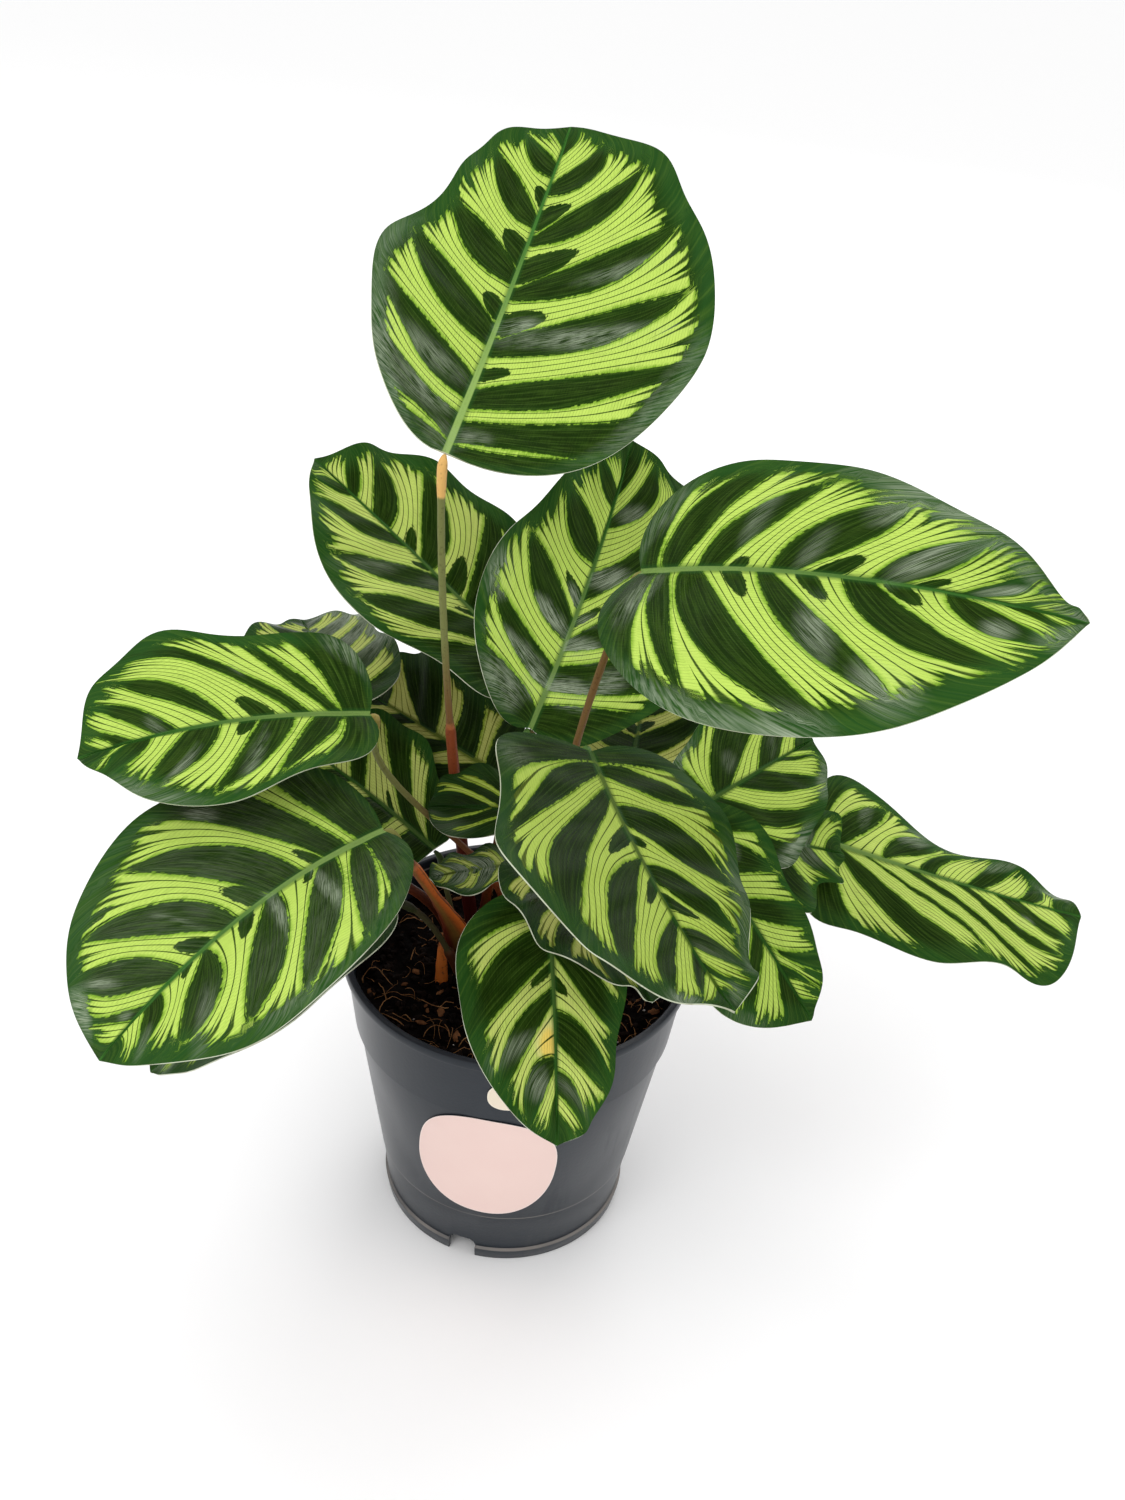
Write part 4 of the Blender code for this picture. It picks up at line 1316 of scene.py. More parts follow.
# The third entry of each pattern lists its spots of painted silvery sheen.
PATTERNS = {
    "leaf_crown": Pattern(
        half((30, 35, 115, 160, 230, 320, 390, 505, 557, 680, 725, 840, 885, 930),
             (50, 68, 130, 172, 260, 325, 410, 470, 558, 657, 750, 813, 880, 935),
             (60, 85, 170, 250, 275, 385, 405, 500, 520, 715, 735, 840, 855, 930), (425, 200, 50),
             (600, 310, 70), (772, 200, 45)),
        half((30, 35, 100, 137, 198, 292, 350, 460, 505, 627, 667, 783, 825, 905),
             (45, 62, 130, 168, 245, 313, 395, 455, 540, 627, 710, 772, 850, 930),
             (85, 88, 165, 235, 265, 395, 405, 520, 540, 720, 720, 865, 870, 960), (240, 150, 35),
             (390, 220, 60), (553, 340, 75), (710, 270, 60)),
        ((0.15, -0.9, 0.1, 0.15, 0.7), (0.12, -0.45, 0.03, 0.35, 0.6), (0.2, -0.45, 0.025, 0.35, 0.5),
         (0.34, 0.45, 0.022, 0.35, 0.75), (0.38, 0.1, 0.02, 0.1, 0.8), (0.485, 0.6, 0.014, 0.2, 0.6),
         (0.06, 0.15, 0.02, 0.15, 0.5), (0.02, -0.3, 0.05, 0.4, 0.4), (0.2, 0.95, 0.1, 0.08, 0.4),
         (0.25, -0.95, 0.14, 0.08, 0.35)), rib=1.0),
    "leaf_rear_left": Pattern(
        half((100, 140, 250, 380, 470, 590, 660, 820, 870, 930),
             (200, 250, 385, 455, 545, 645, 740, 830, 910, 960),
             (270, 400, 420, 550, 560, 730, 760, 860, 880, 960), (290, 150, 30), (500, 130, 30)),
        half((180, 220, 330, 470, 525, 665, 740, 810, 850, 950),
             (220, 250, 355, 460, 565, 660, 755, 810, 870, 950),
             (250, 330, 365, 550, 570, 730, 755, 840, 860, 930), (385, 330, 65), (575, 240, 40)),
        ((0.52, -0.6, 0.03, 0.3, 0.3), (0.42, -0.15, 0.03, 0.1, 0.3)), yellow=0.35, rib=0.35),
    "leaf_rear_middle": Pattern(
        half((60, 130, 200, 285, 360, 540, 605, 740, 800, 850),
             (120, 165, 235, 305, 405, 500, 610, 715, 790, 880),
             (145, 250, 260, 390, 400, 530, 560, 725, 745, 880), (415, 320, 45)),
        half((80, 130, 210, 260, 310, 430, 525, 675, 720, 800),
             (125, 165, 270, 320, 440, 530, 620, 730, 830, 900),
             (150, 210, 330, 420, 520, 620, 790, 880, 890, 950), (360, 200, 30), (480, 100, 20)),
        ((0.13, -0.2, 0.04, 0.15, 1.3), (0.18, -0.5, 0.02, 0.3, 0.8), (0.31, -0.25, 0.02, 0.2, 1.1),
         (0.41, -0.12, 0.02, 0.1, 0.9), (0.14, 0.2, 0.035, 0.25, 1.3), (0.27, 0.12, 0.03, 0.15, 1.3),
         (0.5, 0.17, 0.03, 0.15, 1.2), (0.36, 0.1, 0.02, 0.08, 0.8), (0.72, 0.25, 0.03, 0.15, 0.6),
         (0.09, -0.7, 0.04, 0.3, 0.7), (0.28, -0.85, 0.04, 0.12, 0.9), (0.2, 0.45, 0.03, 0.1, 1.0)),
        rib=0.5),
    "leaf_right_high": Pattern(
        half((50, 70, 115, 170, 235, 355, 423, 578, 645, 755, 790, 850, 880, 930),
             (70, 90, 188, 230, 310, 383, 500, 583, 668, 750, 810, 860, 880, 950),
             (115, 190, 235, 340, 350, 470, 480, 617, 640, 743, 760, 850, 870, 940), (275, 120, 35),
             (487, 270, 60), (682, 300, 35)),
        half((60, 62, 100, 130, 200, 335, 383, 525, 600, 730, 775, 845, 900, 930),
             (100, 125, 190, 220, 343, 428, 510, 585, 680, 750, 850, 900, 930, 960),
             (150, 240, 250, 390, 440, 550, 560, 710, 745, 860, 870, 930, 940, 970), (275, 200, 45),
             (450, 200, 45), (640, 220, 50), (870, 200, 45)),
        ((0.47, -0.85, 0.03, 0.2, 0.9), (0.52, -0.97, 0.15, 0.07, 0.7), (0.62, -0.5, 0.03, 0.4, 0.8),
         (0.785, -0.5, 0.02, 0.35, 0.9), (0.42, -0.25, 0.02, 0.2, 0.4), (0.56, 0.78, 0.04, 0.15, 0.8),
         (0.47, 0.4, 0.03, 0.2, 0.6), (0.8, 0.5, 0.03, 0.12, 0.8), (0.08, 0.4, 0.03, 0.3, 0.5),
         (0.06, -0.8, 0.06, 0.2, 0.35), (0.27, -0.5, 0.02, 0.3, 0.4), (0.96, -0.6, 0.08, 0.3, 0.8),
         (0.92, 0.8, 0.06, 0.2, 0.7), (0.65, -0.9, 0.2, 0.08, 0.5), (0.25, 0.97, 0.1, 0.08, 0.6),
         (0.4, 0.97, 0.05, 0.1, 0.8)), rib=0.6),
    "leaf_front_broad": Pattern(
        half((45, 60, 100, 210, 290, 440, 510, 680, 750, 810, 850, 910),
             (75, 95, 180, 255, 395, 465, 575, 665, 770, 840, 870, 910),
             (110, 200, 230, 410, 450, 580, 600, 715, 770, 845, 870, 910), (345, 140, 35), (575, 420, 60)),
        half((40, 50, 100, 155, 210, 420, 450, 650, 690, 775, 850, 910),
             (90, 115, 205, 290, 410, 495, 620, 720, 790, 870, 890, 930),
             (160, 270, 300, 460, 520, 670, 720, 810, 830, 900, 910, 930), (335, 220, 55), (530, 170, 45)),
        ((0.86, 0.93, 0.04, 0.15, 0.9), (0.9, -0.75, 0.04, 0.25, 0.6), (0.74, -0.4, 0.02, 0.3, 0.3),
         (0.12, 0.85, 0.03, 0.15, 0.35), (0.55, -0.95, 0.2, 0.08, 0.4)), shade=0.3, rib=0.15),
    "leaf_front_low": Pattern(
        half((120, 160, 250, 470, 600, 710, 800, 870), (180, 240, 370, 470, 620, 710, 810, 880),
             (220, 320, 400, 530, 610, 780, 820, 900), (360, 200, 55)),
        half((80, 120, 270, 390, 460, 660, 710, 800), (125, 200, 380, 470, 580, 650, 780, 880),
             (200, 340, 450, 580, 630, 760, 820, 900), (310, 270, 45)),
        ((0.72, 0.45, 0.05, 0.2, 0.8), (0.55, 0.6, 0.03, 0.3, 0.5), (0.75, -0.4, 0.03, 0.4, 0.35)),
        ((0.6, 0.12, 0.07, 0.14, 1.6), (0.635, 0.14, 0.008, 0.09, 1.5)), yellow=0.4),
    "leaf_left_high": Pattern(
        half((90, 100, 190, 255, 370, 500, 610, 730, 800, 860),
             (110, 150, 240, 290, 395, 495, 610, 700, 815, 850),
             (165, 240, 255, 390, 405, 560, 585, 700, 780, 840), (410, 200, 50), (840, 200, 40)),
        half((95, 105, 145, 210, 265, 480, 510, 650, 725, 800, 860, 910),
             (140, 200, 250, 330, 390, 550, 635, 715, 780, 855, 880, 930),
             (190, 280, 300, 500, 560, 680, 690, 790, 810, 870, 900, 930), (360, 240, 70)),
        ((0.535, -0.6, 0.015, 0.25, 0.7), (0.345, -0.5, 0.015, 0.3, 0.5), (0.7, 0.15, 0.02, 0.12, 0.5),
         (0.08, 0.9, 0.04, 0.15, 0.5), (0.55, -0.97, 0.12, 0.08, 0.5), (0.36, 0.6, 0.015, 0.1, 0.5)),
        rib=0.5),
    "leaf_left_broad": Pattern(
        half((80, 85, 130, 185, 250, 375, 430, 605, 630, 770, 825, 920),
             (110, 130, 215, 250, 360, 410, 515, 580, 675, 750, 830, 900),
             (160, 220, 250, 370, 400, 520, 525, 650, 665, 800, 820, 900), (280, 120, 30), (485, 200, 45),
             (680, 150, 30)),
        half((90, 130, 210, 285, 400, 500, 560, 690, 750, 825, 870, 940),
             (140, 180, 280, 345, 445, 520, 630, 700, 810, 870, 890, 950),
             (160, 220, 340, 480, 480, 640, 655, 750, 800, 870, 900, 940), (235, 170, 30), (430, 250, 50),
             (615, 200, 50)),
        ((0.26, -0.3, 0.018, 0.25, 0.9), (0.4, -0.2, 0.015, 0.2, 0.9), (0.62, -0.7, 0.02, 0.25, 0.5),
         (0.78, 0.65, 0.015, 0.2, 0.8), (0.8, -0.7, 0.02, 0.2, 0.5), (0.86, 0.9, 0.07, 0.12, 0.9),
         (0.57, 0.35, 0.008, 0.2, 0.5), (0.4, -0.9, 0.1, 0.07, 0.35), (0.86, 0.2, 0.015, 0.1, 0.6),
         (0.3, 0.75, 0.02, 0.08, 0.9), (0.5, 0.5, 0.4, 0.5, 0.14), (0.3, -0.6, 0.3, 0.4, 0.14)), rib=0.7),
    "leaf_right_inner": Pattern(
        half((160, 200, 320, 530, 690, 830), (130, 240, 500, 600, 760, 850),
             (120, 360, 620, 720, 800, 880)),
        half((100, 120, 220, 350, 550, 680, 740, 820), (200, 240, 360, 500, 660, 820, 850, 900),
             (300, 420, 500, 660, 720, 850, 870, 910)),
        ((0.35, -0.3, 0.04, 0.12, 0.35), (0.65, -0.3, 0.03, 0.2, 0.3), (0.72, 0.93, 0.12, 0.12, 0.8),
         (0.3, 0.93, 0.12, 0.08, 0.8), (0.1, -0.9, 0.1, 0.15, 0.6)), shade=0.12, rib=0.1),
    "leaf_right_front": Pattern(
        half((80, 100, 300, 420, 510, 650, 660, 730, 800, 880),
             (140, 190, 310, 420, 530, 650, 690, 740, 780, 880),
             (170, 280, 300, 410, 500, 600, 680, 750, 760, 840)),
        half((100, 180, 270, 380, 480, 560, 640, 740), (180, 260, 360, 460, 560, 640, 700, 830),
             (240, 360, 420, 540, 600, 680, 720, 860), (330, 200, 30)),
        ((0.2, -0.35, 0.05, 0.1, 0.5), (0.7, 0.95, 0.1, 0.08, 0.3))),
    "leaf_right_far": Pattern(
        half((40, 50, 130, 270, 280, 410, 460, 580, 640, 770, 820, 900),
             (65, 120, 200, 265, 355, 390, 435, 555, 640, 750, 820, 860),
             (120, 200, 210, 310, 360, 410, 440, 520, 600, 690, 740, 830), (430, 380, 50)),
        half((80, 100, 130, 220, 240, 360, 420, 550, 600, 700, 780, 900),
             (120, 200, 330, 430, 460, 550, 600, 690, 740, 800, 850, 930),
             (170, 330, 450, 510, 520, 680, 700, 800, 810, 860, 880, 930)),
        ((0.3, -0.75, 0.03, 0.2, 0.9), (0.75, 0.33, 0.03, 0.08, 0.6), (0.55, -0.8, 0.03, 0.2, 0.7),
         (0.17, -0.6, 0.015, 0.2, 0.4), (0.8, -0.9, 0.1, 0.1, 0.5)), yellow=0.3, rib=0.55),
    "leaf_rear_inner": Pattern(
        half((130, 280, 390, 580, 700, 800), (300, 380, 580, 680, 800, 880),
             (380, 460, 660, 750, 860, 920)),
        half((90, 160, 340, 430, 560, 800), (120, 180, 310, 430, 680, 780), (120, 200, 330, 450, 720, 820)),
        shade=0.55, yellow=0.75),
    "leaf_left_inner": Pattern(
        half((160, 270, 450, 600, 720, 820), (150, 230, 470, 600, 740, 820),
             (140, 200, 480, 600, 750, 820)),
        half((50, 80, 240, 520, 620, 750), (180, 300, 450, 600, 700, 800), (260, 400, 550, 660, 760, 840),
             (330, 180, 40)), shade=0.08, yellow=0.5),
    "leaf_left_tucked": Pattern(
        plain_half(3, 5), plain_half(4, 5), ((0.85, -0.4, 0.15, 0.4, 0.6),), shade=0.12),
    "leaf_left_rear": Pattern(
        plain_half(5, 4), plain_half(6, 4), ((0.6, 0.8, 0.3, 0.5, 1.3), (0.8, 0.0, 0.1, 0.5, 0.8)),
        shade=0.35, yellow=0.5),
    "leaf_front_tucked": Pattern(plain_half(7, 4), plain_half(8, 4), shade=0.5, yellow=0.7),
    "leaf_centre_small": Pattern(
        half((100, 130, 420, 460), (360, 430, 620, 690), (520, 600, 780, 860)),
        half((120, 160, 340, 420), (340, 420, 550, 660), (500, 580, 720, 820)),
        ((0.7, -0.8, 0.2, 0.3, 0.4),), shade=0.58, yellow=0.25, rib=0.0),
    "leaf_centre_curled": Pattern(
        plain_half(11, 3), plain_half(12, 3), ((0.5, 0.1, 0.5, 0.7, 1.25),), shade=0.5, yellow=0.6),
    "leaf_right_tucked": Pattern(
        plain_half(13, 3), plain_half(14, 3), ((0.6, 0.1, 0.1, 0.4, 0.7),), shade=0.1),
    "leaf_rear_right": Pattern(plain_half(15, 3), plain_half(16, 3), shade=0.5, yellow=0.7),
}


@dataclass
class BudSheath:
    """The bare husk that stands in the soil: a rolled, pointed sheet."""

    root: tuple[float, float] = (-25.5, -7.0)
    tip: tuple[float, float, float] = (-26.0, -6.5, 117.0)
    foot: float = 88.0
    ground: float = 96.0
    width: float = 1.9
    rings: int = 30
    sides: int = 14

    def build(self) -> bpy.types.Object:
        """Make the husk.

        Returns:
            The husk, standing for the sheath's solid.
        """
        up = np.linspace(0, 1, self.rings)
        foot, ground = (np.array([*self.root, height]) for height in (self.foot, self.ground))
        route = np.concatenate([[foot], ground + (np.array(self.tip) - ground) * up[:, None]])
        up = np.append(0.0, up)
        radii = self.width * (1 - 0.85 * up ** 1.6) * (1 + 0.04 * np.sin(up * 21))
        points, faces = tube(route, radii, self.sides, 1.15 + 0.25 * up)
        made = Surface()
        made.add(points, faces, stalk_place=[(far, a, 5.0) for far in up for a in circle(self.sides, 1.0)])
        husk = made.build("bud_sheath_husk", [SheathFinish().material("dry husk")], crease=50)
        return seat(husk, "bud_sheath")


# ------------------------------------------------------------------ pot, soil and stickers

@dataclass
class Pot:
    """The moulded pot: collar, body and foot on a plinth, with notches and drain holes."""

    height: float = 109.0
    top_radius: float = 60.0
    base_radius: float = 44.0
    wall: float = 2.7
    collar_inset: float = 0.8
    body_inset: float = 1.2
    lower_inset: float = 1.5
    lip_bottom: float = 105.4
    collar_bottom: float = 81.0
    ring: float = 24.0
    foot: float = 5.0
    plinth: float = 27.0
    ceiling: float = 10.0
    floor: float = 2.2
    notches: tuple[float, ...] = (-107.0, 13.0, 133.0)
    notch_ends: tuple[float, float] = (36.0, 50.0)
    holes: int = 8
    hole_ring: float = 35.0
    hole_radius: float = 3.0
    hole_sides: int = 24
    spokes: int = 192

    def cone(self, height: float) -> float:
        """Radius of the cone that the lip and foot lie on."""
        return self.base_radius + (self.top_radius - self.base_radius) * height / self.height

    def wall_profile(self) -> list[tuple[float, float]]:
        """Trace the outer wall.

        Returns:
            Radii and heights, from the bottom of the foot to the top of the lip.
        """
        r, top = self.cone, self.top_radius
        return [
            (r(0) - 0.4, 0), (r(0), 0.5), (r(self.foot), self.foot),
            (r(self.foot) - self.lower_inset * 0.6, self.foot + 0.6),
            (r(self.ring) - self.lower_inset, self.ring - 0.4), (r(self.ring) - self.body_inset, self.ring),
            (r(self.collar_bottom) - self.body_inset, self.collar_bottom),
            (r(self.collar_bottom), self.collar_bottom + 0.8),
            (r(self.lip_bottom) - self.collar_inset, self.lip_bottom), (top - 0.1, self.lip_bottom + 0.7),
            (top, self.lip_bottom + 1.1), (top, self.height - 0.8), (top - 0.35, self.height - 0.15),
            (top - 0.9, self.height),
        ]

    def outside(self, height: float) -> float:
        """Radius of the outer wall at a height."""
        radii, heights = zip(*self.wall_profile())
        return float(np.interp(height, heights, radii))

    def blocks(self) -> Surface:
        """Lay out what is cut away, the notches in the foot and the drain holes.

        Returns:
            One closed block for each.
        """
        cut = Surface()
        section = ((-5, -1), (5, -1), (5, 5.5), (4.4, 7.3), (3, 8.5), (-3, 8.5), (-4.4, 7.3), (-5, 5.5))
        for angle in map(math.radians, self.notches):
            points = [(reach * math.cos(angle) - across * math.sin(angle),
                       reach * math.sin(angle) + across * math.cos(angle), height)
                      for reach in self.notch_ends for across, height in section]
            cut.add(points, barrel_faces(2, len(section)))
        for k in range(self.holes):
            x, y = polar(self.hole_ring, math.tau * (k + 0.5) / self.holes)
            points = [(x + self.hole_radius * math.cos(a), y + self.hole_radius * math.sin(a), height)
                      for height in (self.ceiling - 1, self.ceiling + self.floor + 1)
                      for a in circle(self.hole_sides)]
            cut.add(points, barrel_faces(2, self.hole_sides))
        return cut

    def build(self) -> bpy.types.Object:
        """Make the pot.

        Returns:
            The pot, standing for its solid.
        """
        r, top = self.cone, self.ceiling + self.floor
        heel, lip = r(0) - 2, r(self.height) - self.wall
        profile = [(self.plinth, 0), (self.plinth + 0.6, self.ceiling), (heel, self.ceiling), (heel, 0),
                   *self.wall_profile(), (lip + 0.5, self.height), (lip, self.height - 0.5),
                   (r(top) - self.wall - 0.2, top), (self.plinth - 1.6, top), (self.plinth - 2.2, self.floor)]
        points = [(*polar(radius, a), height) for radius, height in profile for a in circle(self.spokes)]
        body = Surface()
        body.add(points, barrel_faces(len(profile), self.spokes))
        plastic = PotFinish().material("pot plastic")
        pot = body.build("pot_moulding", [plastic])
        tool = self.blocks().build("pot_cutter", [plastic], smooth=False)
        modifier = pot.modifiers.new("cut", "BOOLEAN")
        modifier.operation, modifier.object = "DIFFERENCE", tool
        mesh = bpy.data.meshes.new_from_object(pot.evaluated_get(bpy.context.evaluated_depsgraph_get()))
        pot.modifiers.clear()
        pot.data = mesh
        mesh.set_sharp_from_angle(angle=math.radians(35))
        bpy.data.objects.remove(tool)
        return seat(pot, "pot")


@dataclass(frozen=True)
class Bits:
    """Loose bits on the soil: what they are, their finish, and how many there are.

    sizes are the smallest and largest half length, flatness is the height as a share of the length, and
    seed fixes the random draw.
    """

    name: str
    material: str
    finish: SpeckFinish
    count: int
    sizes: tuple[float, float]
    flatness: float
    seed: int


BITS = (
    Bits("soil_crumbs", "peat crumb", SpeckFinish(tint(4, 3, 2), tint(30, 18, 11)),
         900, (0.5, 1.9), 0.7, 11),
    Bits("soil_bark", "bark chip", SpeckFinish(tint(70, 40, 22), tint(140, 96, 60)),
         55, (0.8, 2.6), 0.4, 23),
    Bits("soil_grains", "white grain", SpeckFinish(tint(190, 186, 176), tint(232, 230, 224)),
         40, (0.25, 0.6), 0.8, 37),
)


@dataclass
class Soil:
    """Peat in the pot, with fibres, bark and a few white grains on it."""

    pot: Pot
    top: float = 97.0
    floor: float = 12.5
    rings: int = 96
    spokes: int = 220
    fibre_count: int = 210
    fibre_points: int = 11
    fibre_seed: int = 41

    @property
    def brim(self) -> float:
        """Radius of the soil's top."""
        return self.pot.cone(self.top) - self.pot.wall - 0.35

    def level(self, x: float, y: float) -> float:
        """Find the height of the soil at a spot, with its lumps and crumbs.

        Args:
            x: Place to the right of the pot's axis.
            y: Place behind it.

        Returns:
            The height.
        """
        lumps = math.sin(0.21 * x + 1.3) * math.cos(0.17 * y - 0.6) + 0.6 * math.sin(0.33 * (x + y))
        mound = 2.0 * math.exp(-((x + 3) ** 2 + (y - 12) ** 2) / 900)
        crumbs = 0.0
        for height, scale, layer in ((1.5, 0.16, 3.1), (1.0, 0.42, 8.7), (0.55, 1.1, 1.9)):
            crumbs += height * noise.noise(Vector((x * scale, y * scale, layer)))
        rise = self.top + 0.96 * lumps + mound - 1.0 + crumbs * 0.8
        near = max(0.0, (math.hypot(x, y) - self.brim + 3) / 3)
        return rise * (1 - near) + (self.top + crumbs * 0.25) * near

    def ground(self) -> bpy.types.Object:
        """Make the body of peat.

        Returns:
            The peat, standing for the soil's solid.
        """
        turn = circle(self.spokes)
        wall = self.pot.cone(self.floor) - self.pot.wall - 0.5
        shares = np.linspace(1, 0, self.rings, endpoint=False) ** 0.8
        spots = [polar(self.brim * share, a) for share in shares for a in turn] + [(0.0, 0.0)]
        points = [(*polar(wall, a), self.floor) for a in turn]
        points += [(x, y, self.level(x, y)) for x, y in spots]
        faces = grid_faces(self.rings + 1, self.spokes, around=True)
        faces += fan_faces(self.rings * self.spokes, self.spokes, len(points) - 1)
        faces.append(tuple(reversed(range(self.spokes))))
        made = Surface()
        made.add(points, faces)
        return seat(made.build("soil_peat", [SoilFinish().material("dark peat")], crease=80), "soil")

    def spot(self, draw: random.Random, reach: float) -> tuple[float, float]:
        """A random place on the soil, within a share of its brim."""
        radius = self.brim * reach * math.sqrt(draw.random())
        return polar(radius, draw.uniform(0, math.tau))

    def fibres(self) -> bpy.types.Object:
        """Make thin roots and peat fibres that lie and loop on the soil.

        Returns:
            All of them as one piece.
        """
        draw = random.Random(self.fibre_seed)
        made = Surface()
        for _ in range(self.fibre_count):
            x, y = self.spot(draw, 0.97)
            heading, curl = draw.uniform(0, math.tau), draw.uniform(-0.35, 0.35)
            length, hop = draw.uniform(4, 17), draw.uniform(0.2, 2.6)
            step = length / self.fibre_points
            route = []
            for k in range(self.fibre_points):
                share = k / (self.fibre_points - 1)
                route.append((x, y, self.level(x, y) + 0.15 + hop * math.sin(math.pi * share)))
                heading += curl * draw.uniform(0.4, 1.6)
                x, y = x + step * math.cos(heading), y + step * math.sin(heading)
                if math.hypot(x, y) > self.brim - 1.5:
                    heading += 2.0
                    x, y = route[-1][0] * 0.97, route[-1][1] * 0.97
            radii = draw.choice((0.08, 0.11, 0.15, 0.22)) * np.linspace(1.0, 0.5, self.fibre_points)
            made.add(*tube(np.array(route), radii, 5))
        look = SpeckFinish(tint(96, 58, 30), tint(186, 140, 92)).material("root fibre")
        return seat(made.build("soil_fibres", [look]))

    def scatter(self, bits: Bits, rings: int = 5, sides: int = 7) -> bpy.types.Object:
        """Make loose bits that lie on the soil.

        Args:
            bits: What they are.
            rings: Rings of points in each.
            sides: Points in each ring.

        Returns:
            All the bits as one piece.
        """
        draw = random.Random(bits.seed)
        made = Surface()
        for _ in range(bits.count):
            x, y = self.spot(draw, 0.95)
            size = draw.uniform(*bits.sizes)
            spin = Matrix.Rotation(draw.uniform(0, 6.3), 3, "Z")
            spin = spin @ Matrix.Rotation(draw.uniform(-0.5, 0.5), 3, "X")
            centre = Vector((x, y, self.level(x, y) + size * bits.flatness * 0.4))
            points = []
            for k in range(rings * sides):
                tilt = math.pi * (k // sides + 0.5) / rings
                wide, high = polar(math.sin(tilt), math.tau * (k % sides) / sides)
                local = Vector((math.cos(tilt), 0.62 * wide, bits.flatness * high))
                points.append(centre + spin @ (local * size * draw.uniform(0.75, 1.2)))
            made.add(points, barrel_faces(rings, sides))
        return seat(made.build(bits.name, [bits.finish.material(bits.material)], smooth=False))

    def build(self) -> list[bpy.types.Object]:
        """Make the soil and what lies on it."""
        return [self.ground(), self.fibres(), *(self.scatter(bits) for bits in BITS)]


@dataclass
class Sticker:
    """A thin paper sticker that follows the pot's wall.

    It is a rounded box, turned by lean, in radians, and wider above than below by egg.
    """

    pot: Pot
    node: str
    azimuth: float
    height: float
    half_width: float
    half_height: float
    lean: float = 0.0
    egg: float = 0.0
    lift: float = 0.32
    thickness: float = 0.22
    squareness: float = 2.4
    rings: int = 14
    spokes: int = 96
    finish: StickerFinish = StickerFinish()

    def sheet(self) -> list[tuple[float, float, float]]:
        """Lay the sticker out flat.

        Returns:
            For each point, its distance in from the margin and its place across and up the sticker.
        """
        points = []
        for k in range(self.rings * self.spokes + 1):
            share = 1 - (k // self.spokes) / self.rings
            across, up = polar(1.0, math.tau * (k % self.spokes) / self.spokes)
            x, y = (math.copysign(abs(part) ** (2 / self.squareness), part) for part in (across, up))
            x, y = x * self.half_width * (1 + self.egg * up), y * self.half_height
            x, y = (x * math.cos(self.lean) - y * math.sin(self.lean),
                    x * math.sin(self.lean) + y * math.cos(self.lean))
            points.append(((1 - share) * min(self.half_width, self.half_height), x * share, y * share))
        return points

    def build(self) -> bpy.types.Object:
        """Make the sticker.

        Returns:
            The sticker, standing for its solid.
        """
        sheet, spokes = self.sheet(), self.spokes
        faces = grid_faces(self.rings, spokes, around=True)
        faces += fan_faces((self.rings - 1) * spokes, spokes, self.rings * spokes)
        made = Surface()
        for lift, order in ((self.lift + self.thickness, 1), (self.lift, -1)):
            points = []
            for _, x, y in sheet:
                radius = self.pot.outside(self.height + y) + lift
                points.append((*polar(radius, math.radians(self.azimuth) + x / radius), self.height + y))
            made.add(points, [face[::order] for face in faces], sticker_place=sheet)
        size = len(sheet)
        made.join([(j, j + size, (j + 1) % spokes + size, (j + 1) % spokes) for j in range(spokes)])
        paper = self.finish.material(self.node + " paper")
        return seat(made.build(self.node + "_paper", [paper], crease=50), self.node)


# ------------------------------------------------------------------ studio

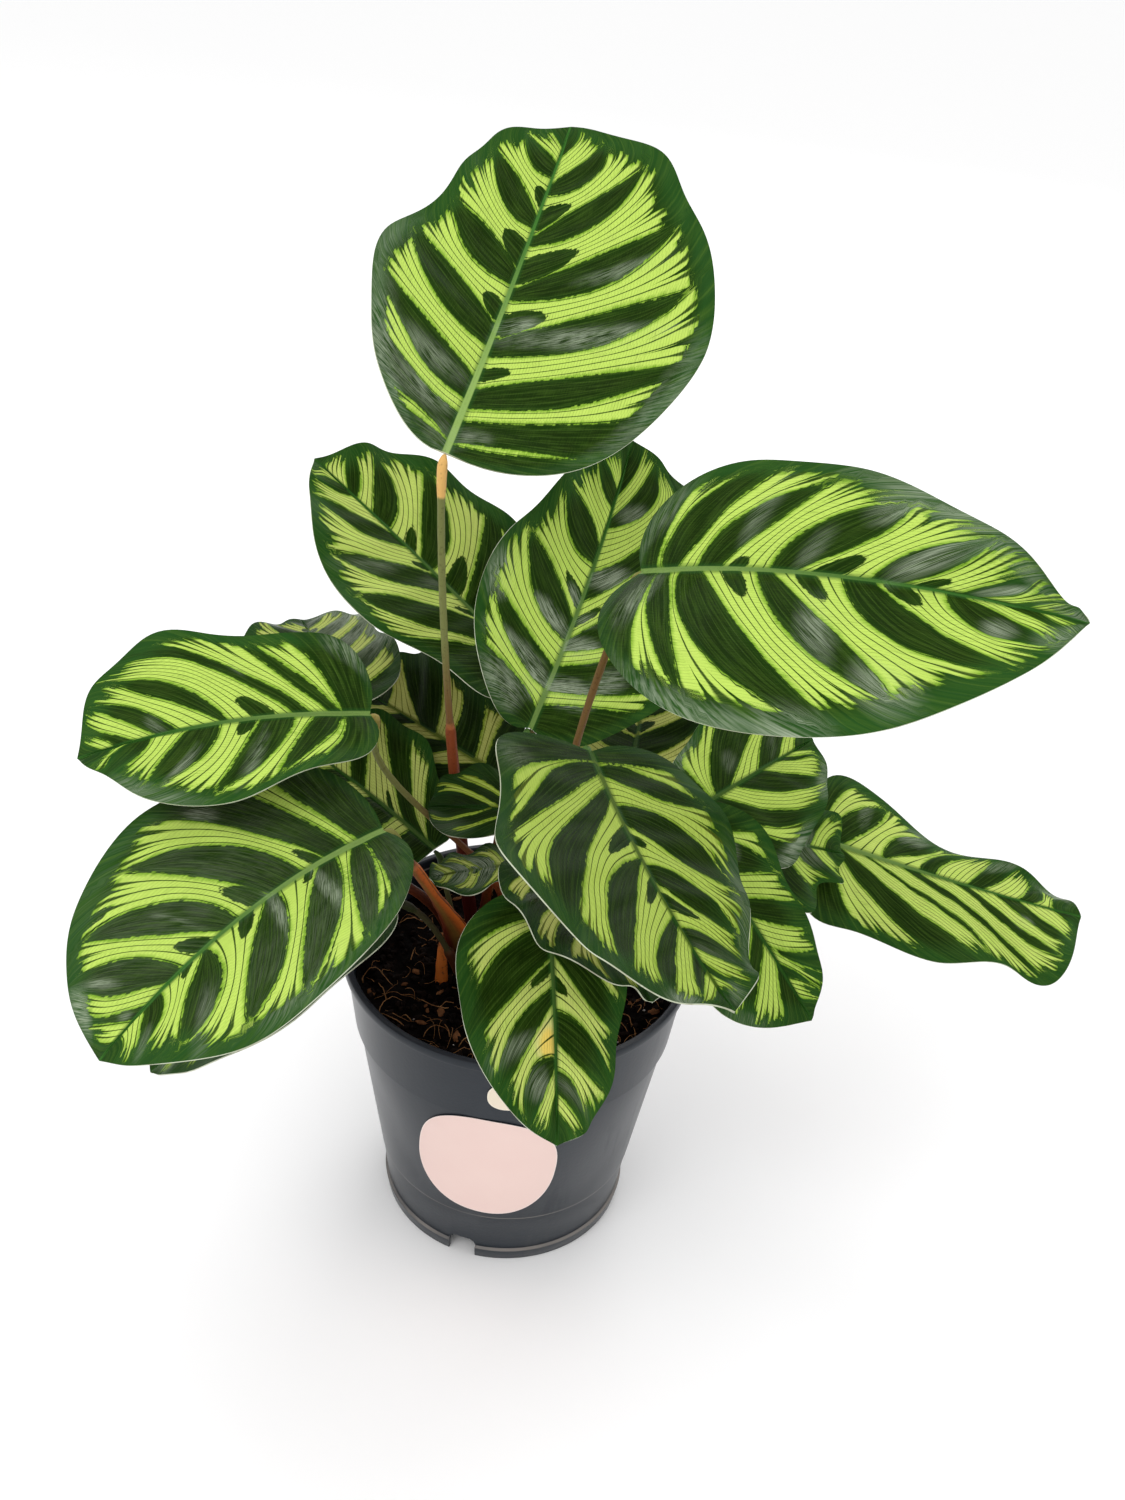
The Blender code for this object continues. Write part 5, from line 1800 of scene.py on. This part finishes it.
@dataclass
class Studio:
    """Pale floor, soft light and the camera. Lengths are in metres and angles in degrees."""

    eye: tuple[float, float, float] = (0.0, -0.402, 0.442)
    yaw: float = 1.40
    pitch: float = 32.14
    roll: float = 4.65
    lens: float = 36.0
    aim: tuple[float, float, float] = (0.0, 0.0, 0.18)
    floor_reach: float = 9.0

    def floor(self) -> None:
        """Add the floor."""
        shader = Shader("pale floor")
        cloud = shader.cloud(shader.here(), 3.0, 2.0)
        pale = shader.finish(shader.blend(cloud * 0.1, (0.97, 0.97, 0.97), (0.95, 0.95, 0.95)), 0.9, 0.1)
        reach = self.floor_reach / MM
        made = Surface()
        made.add([(-reach, -reach, 0), (reach, -reach, 0), (reach, reach, 0), (-reach, reach, 0)],
                 [(0, 1, 2, 3)])
        made.build("floor", [pale])

    def light(self, name: str, place: Sequence[float], size: float, power: float) -> None:
        """Add a square soft light that shines at the plant.

        Args:
            name: Its name.
            place: Where it hangs.
            size: Its side.
            power: Its power in watts.
        """
        lamp = bpy.data.lights.new(name, "AREA")
        lamp.shape, lamp.size, lamp.energy = "SQUARE", size, power
        made = bpy.data.objects.new(name, lamp)
        made.location = place
        made.rotation_euler = (Vector(self.aim) - Vector(place)).to_track_quat("-Z", "Y").to_euler()
        bpy.context.scene.collection.objects.link(made)

    def camera(self) -> None:
        """Add the camera."""
        yaw, pitch, roll = (math.radians(v) for v in (self.yaw, self.pitch, self.roll))
        level = Vector((math.sin(yaw), math.cos(yaw), 0))
        side = Vector((math.cos(yaw), -math.sin(yaw), 0))
        ahead = level * math.cos(pitch) - Vector((0, 0, 1)) * math.sin(pitch)
        up = level * math.sin(pitch) + Vector((0, 0, 1)) * math.cos(pitch)
        right = side * math.cos(roll) + up * math.sin(roll)
        up = up * math.cos(roll) - side * math.sin(roll)
        lens = bpy.data.cameras.new("camera")
        lens.lens, lens.clip_start, lens.clip_end = self.lens, 0.02, 60.0
        made = bpy.data.objects.new("camera", lens)
        rows = [(*parts, place) for *parts, place in zip(right, up, -ahead, self.eye)]
        made.matrix_world = Matrix((*rows, (0, 0, 0, 1)))
        bpy.context.scene.collection.objects.link(made)
        bpy.context.scene.camera = made

    def build(self) -> None:
        """Set the studio up."""
        self.floor()
        self.camera()
        world = bpy.data.worlds.new("studio")
        world.use_nodes = True
        sky = world.node_tree.nodes["Background"]
        sky.inputs["Color"].default_value = (1.0, 1.0, 1.0, 1.0)
        sky.inputs["Strength"].default_value = 1.0
        bpy.context.scene.world = world
        bpy.context.scene.view_settings.view_transform = "Standard"
        self.light("key", (-0.7, -0.9, 1.5), 0.9, 9)
        self.light("back", (0.5, 1.2, 1.2), 1.0, 6)


def main() -> None:
    """Build every piece in order and report it."""
    logging.basicConfig(level=logging.INFO, format="%(name)s: %(message)s")
    finish = LeafFinish()
    blade_skins = [finish.material("leaf upper"), finish.under("leaf under"), finish.rim("leaf rim")]
    stalk_skin = StalkFinish().material("stalk skin")
    pot = Pot()
    pieces = [pot.build()]
    for leaf in LEAVES:
        pieces += [Blade(leaf, PATTERNS[leaf.name]).build(blade_skins), Stalk(leaf).build(stalk_skin)]
    pieces += [BudSheath().build(), *Soil(pot).build()]
    cream = StickerFinish(tint(232, 222, 196), tint(244, 238, 222))
    pieces += [
        Sticker(pot, "sticker_front", -97, 53.8, 24.4, 26.2, lean=-0.10, egg=0.03).build(),
        Sticker(pot, "sticker_collar", -90, 93.8, 6.5, 6.0, finish=cream).build(),
    ]
    Studio().build()
    for piece in pieces:
        LOG.info("%s: %d faces", piece.name, len(piece.data.polygons))


if __name__ == "__main__":
    main()
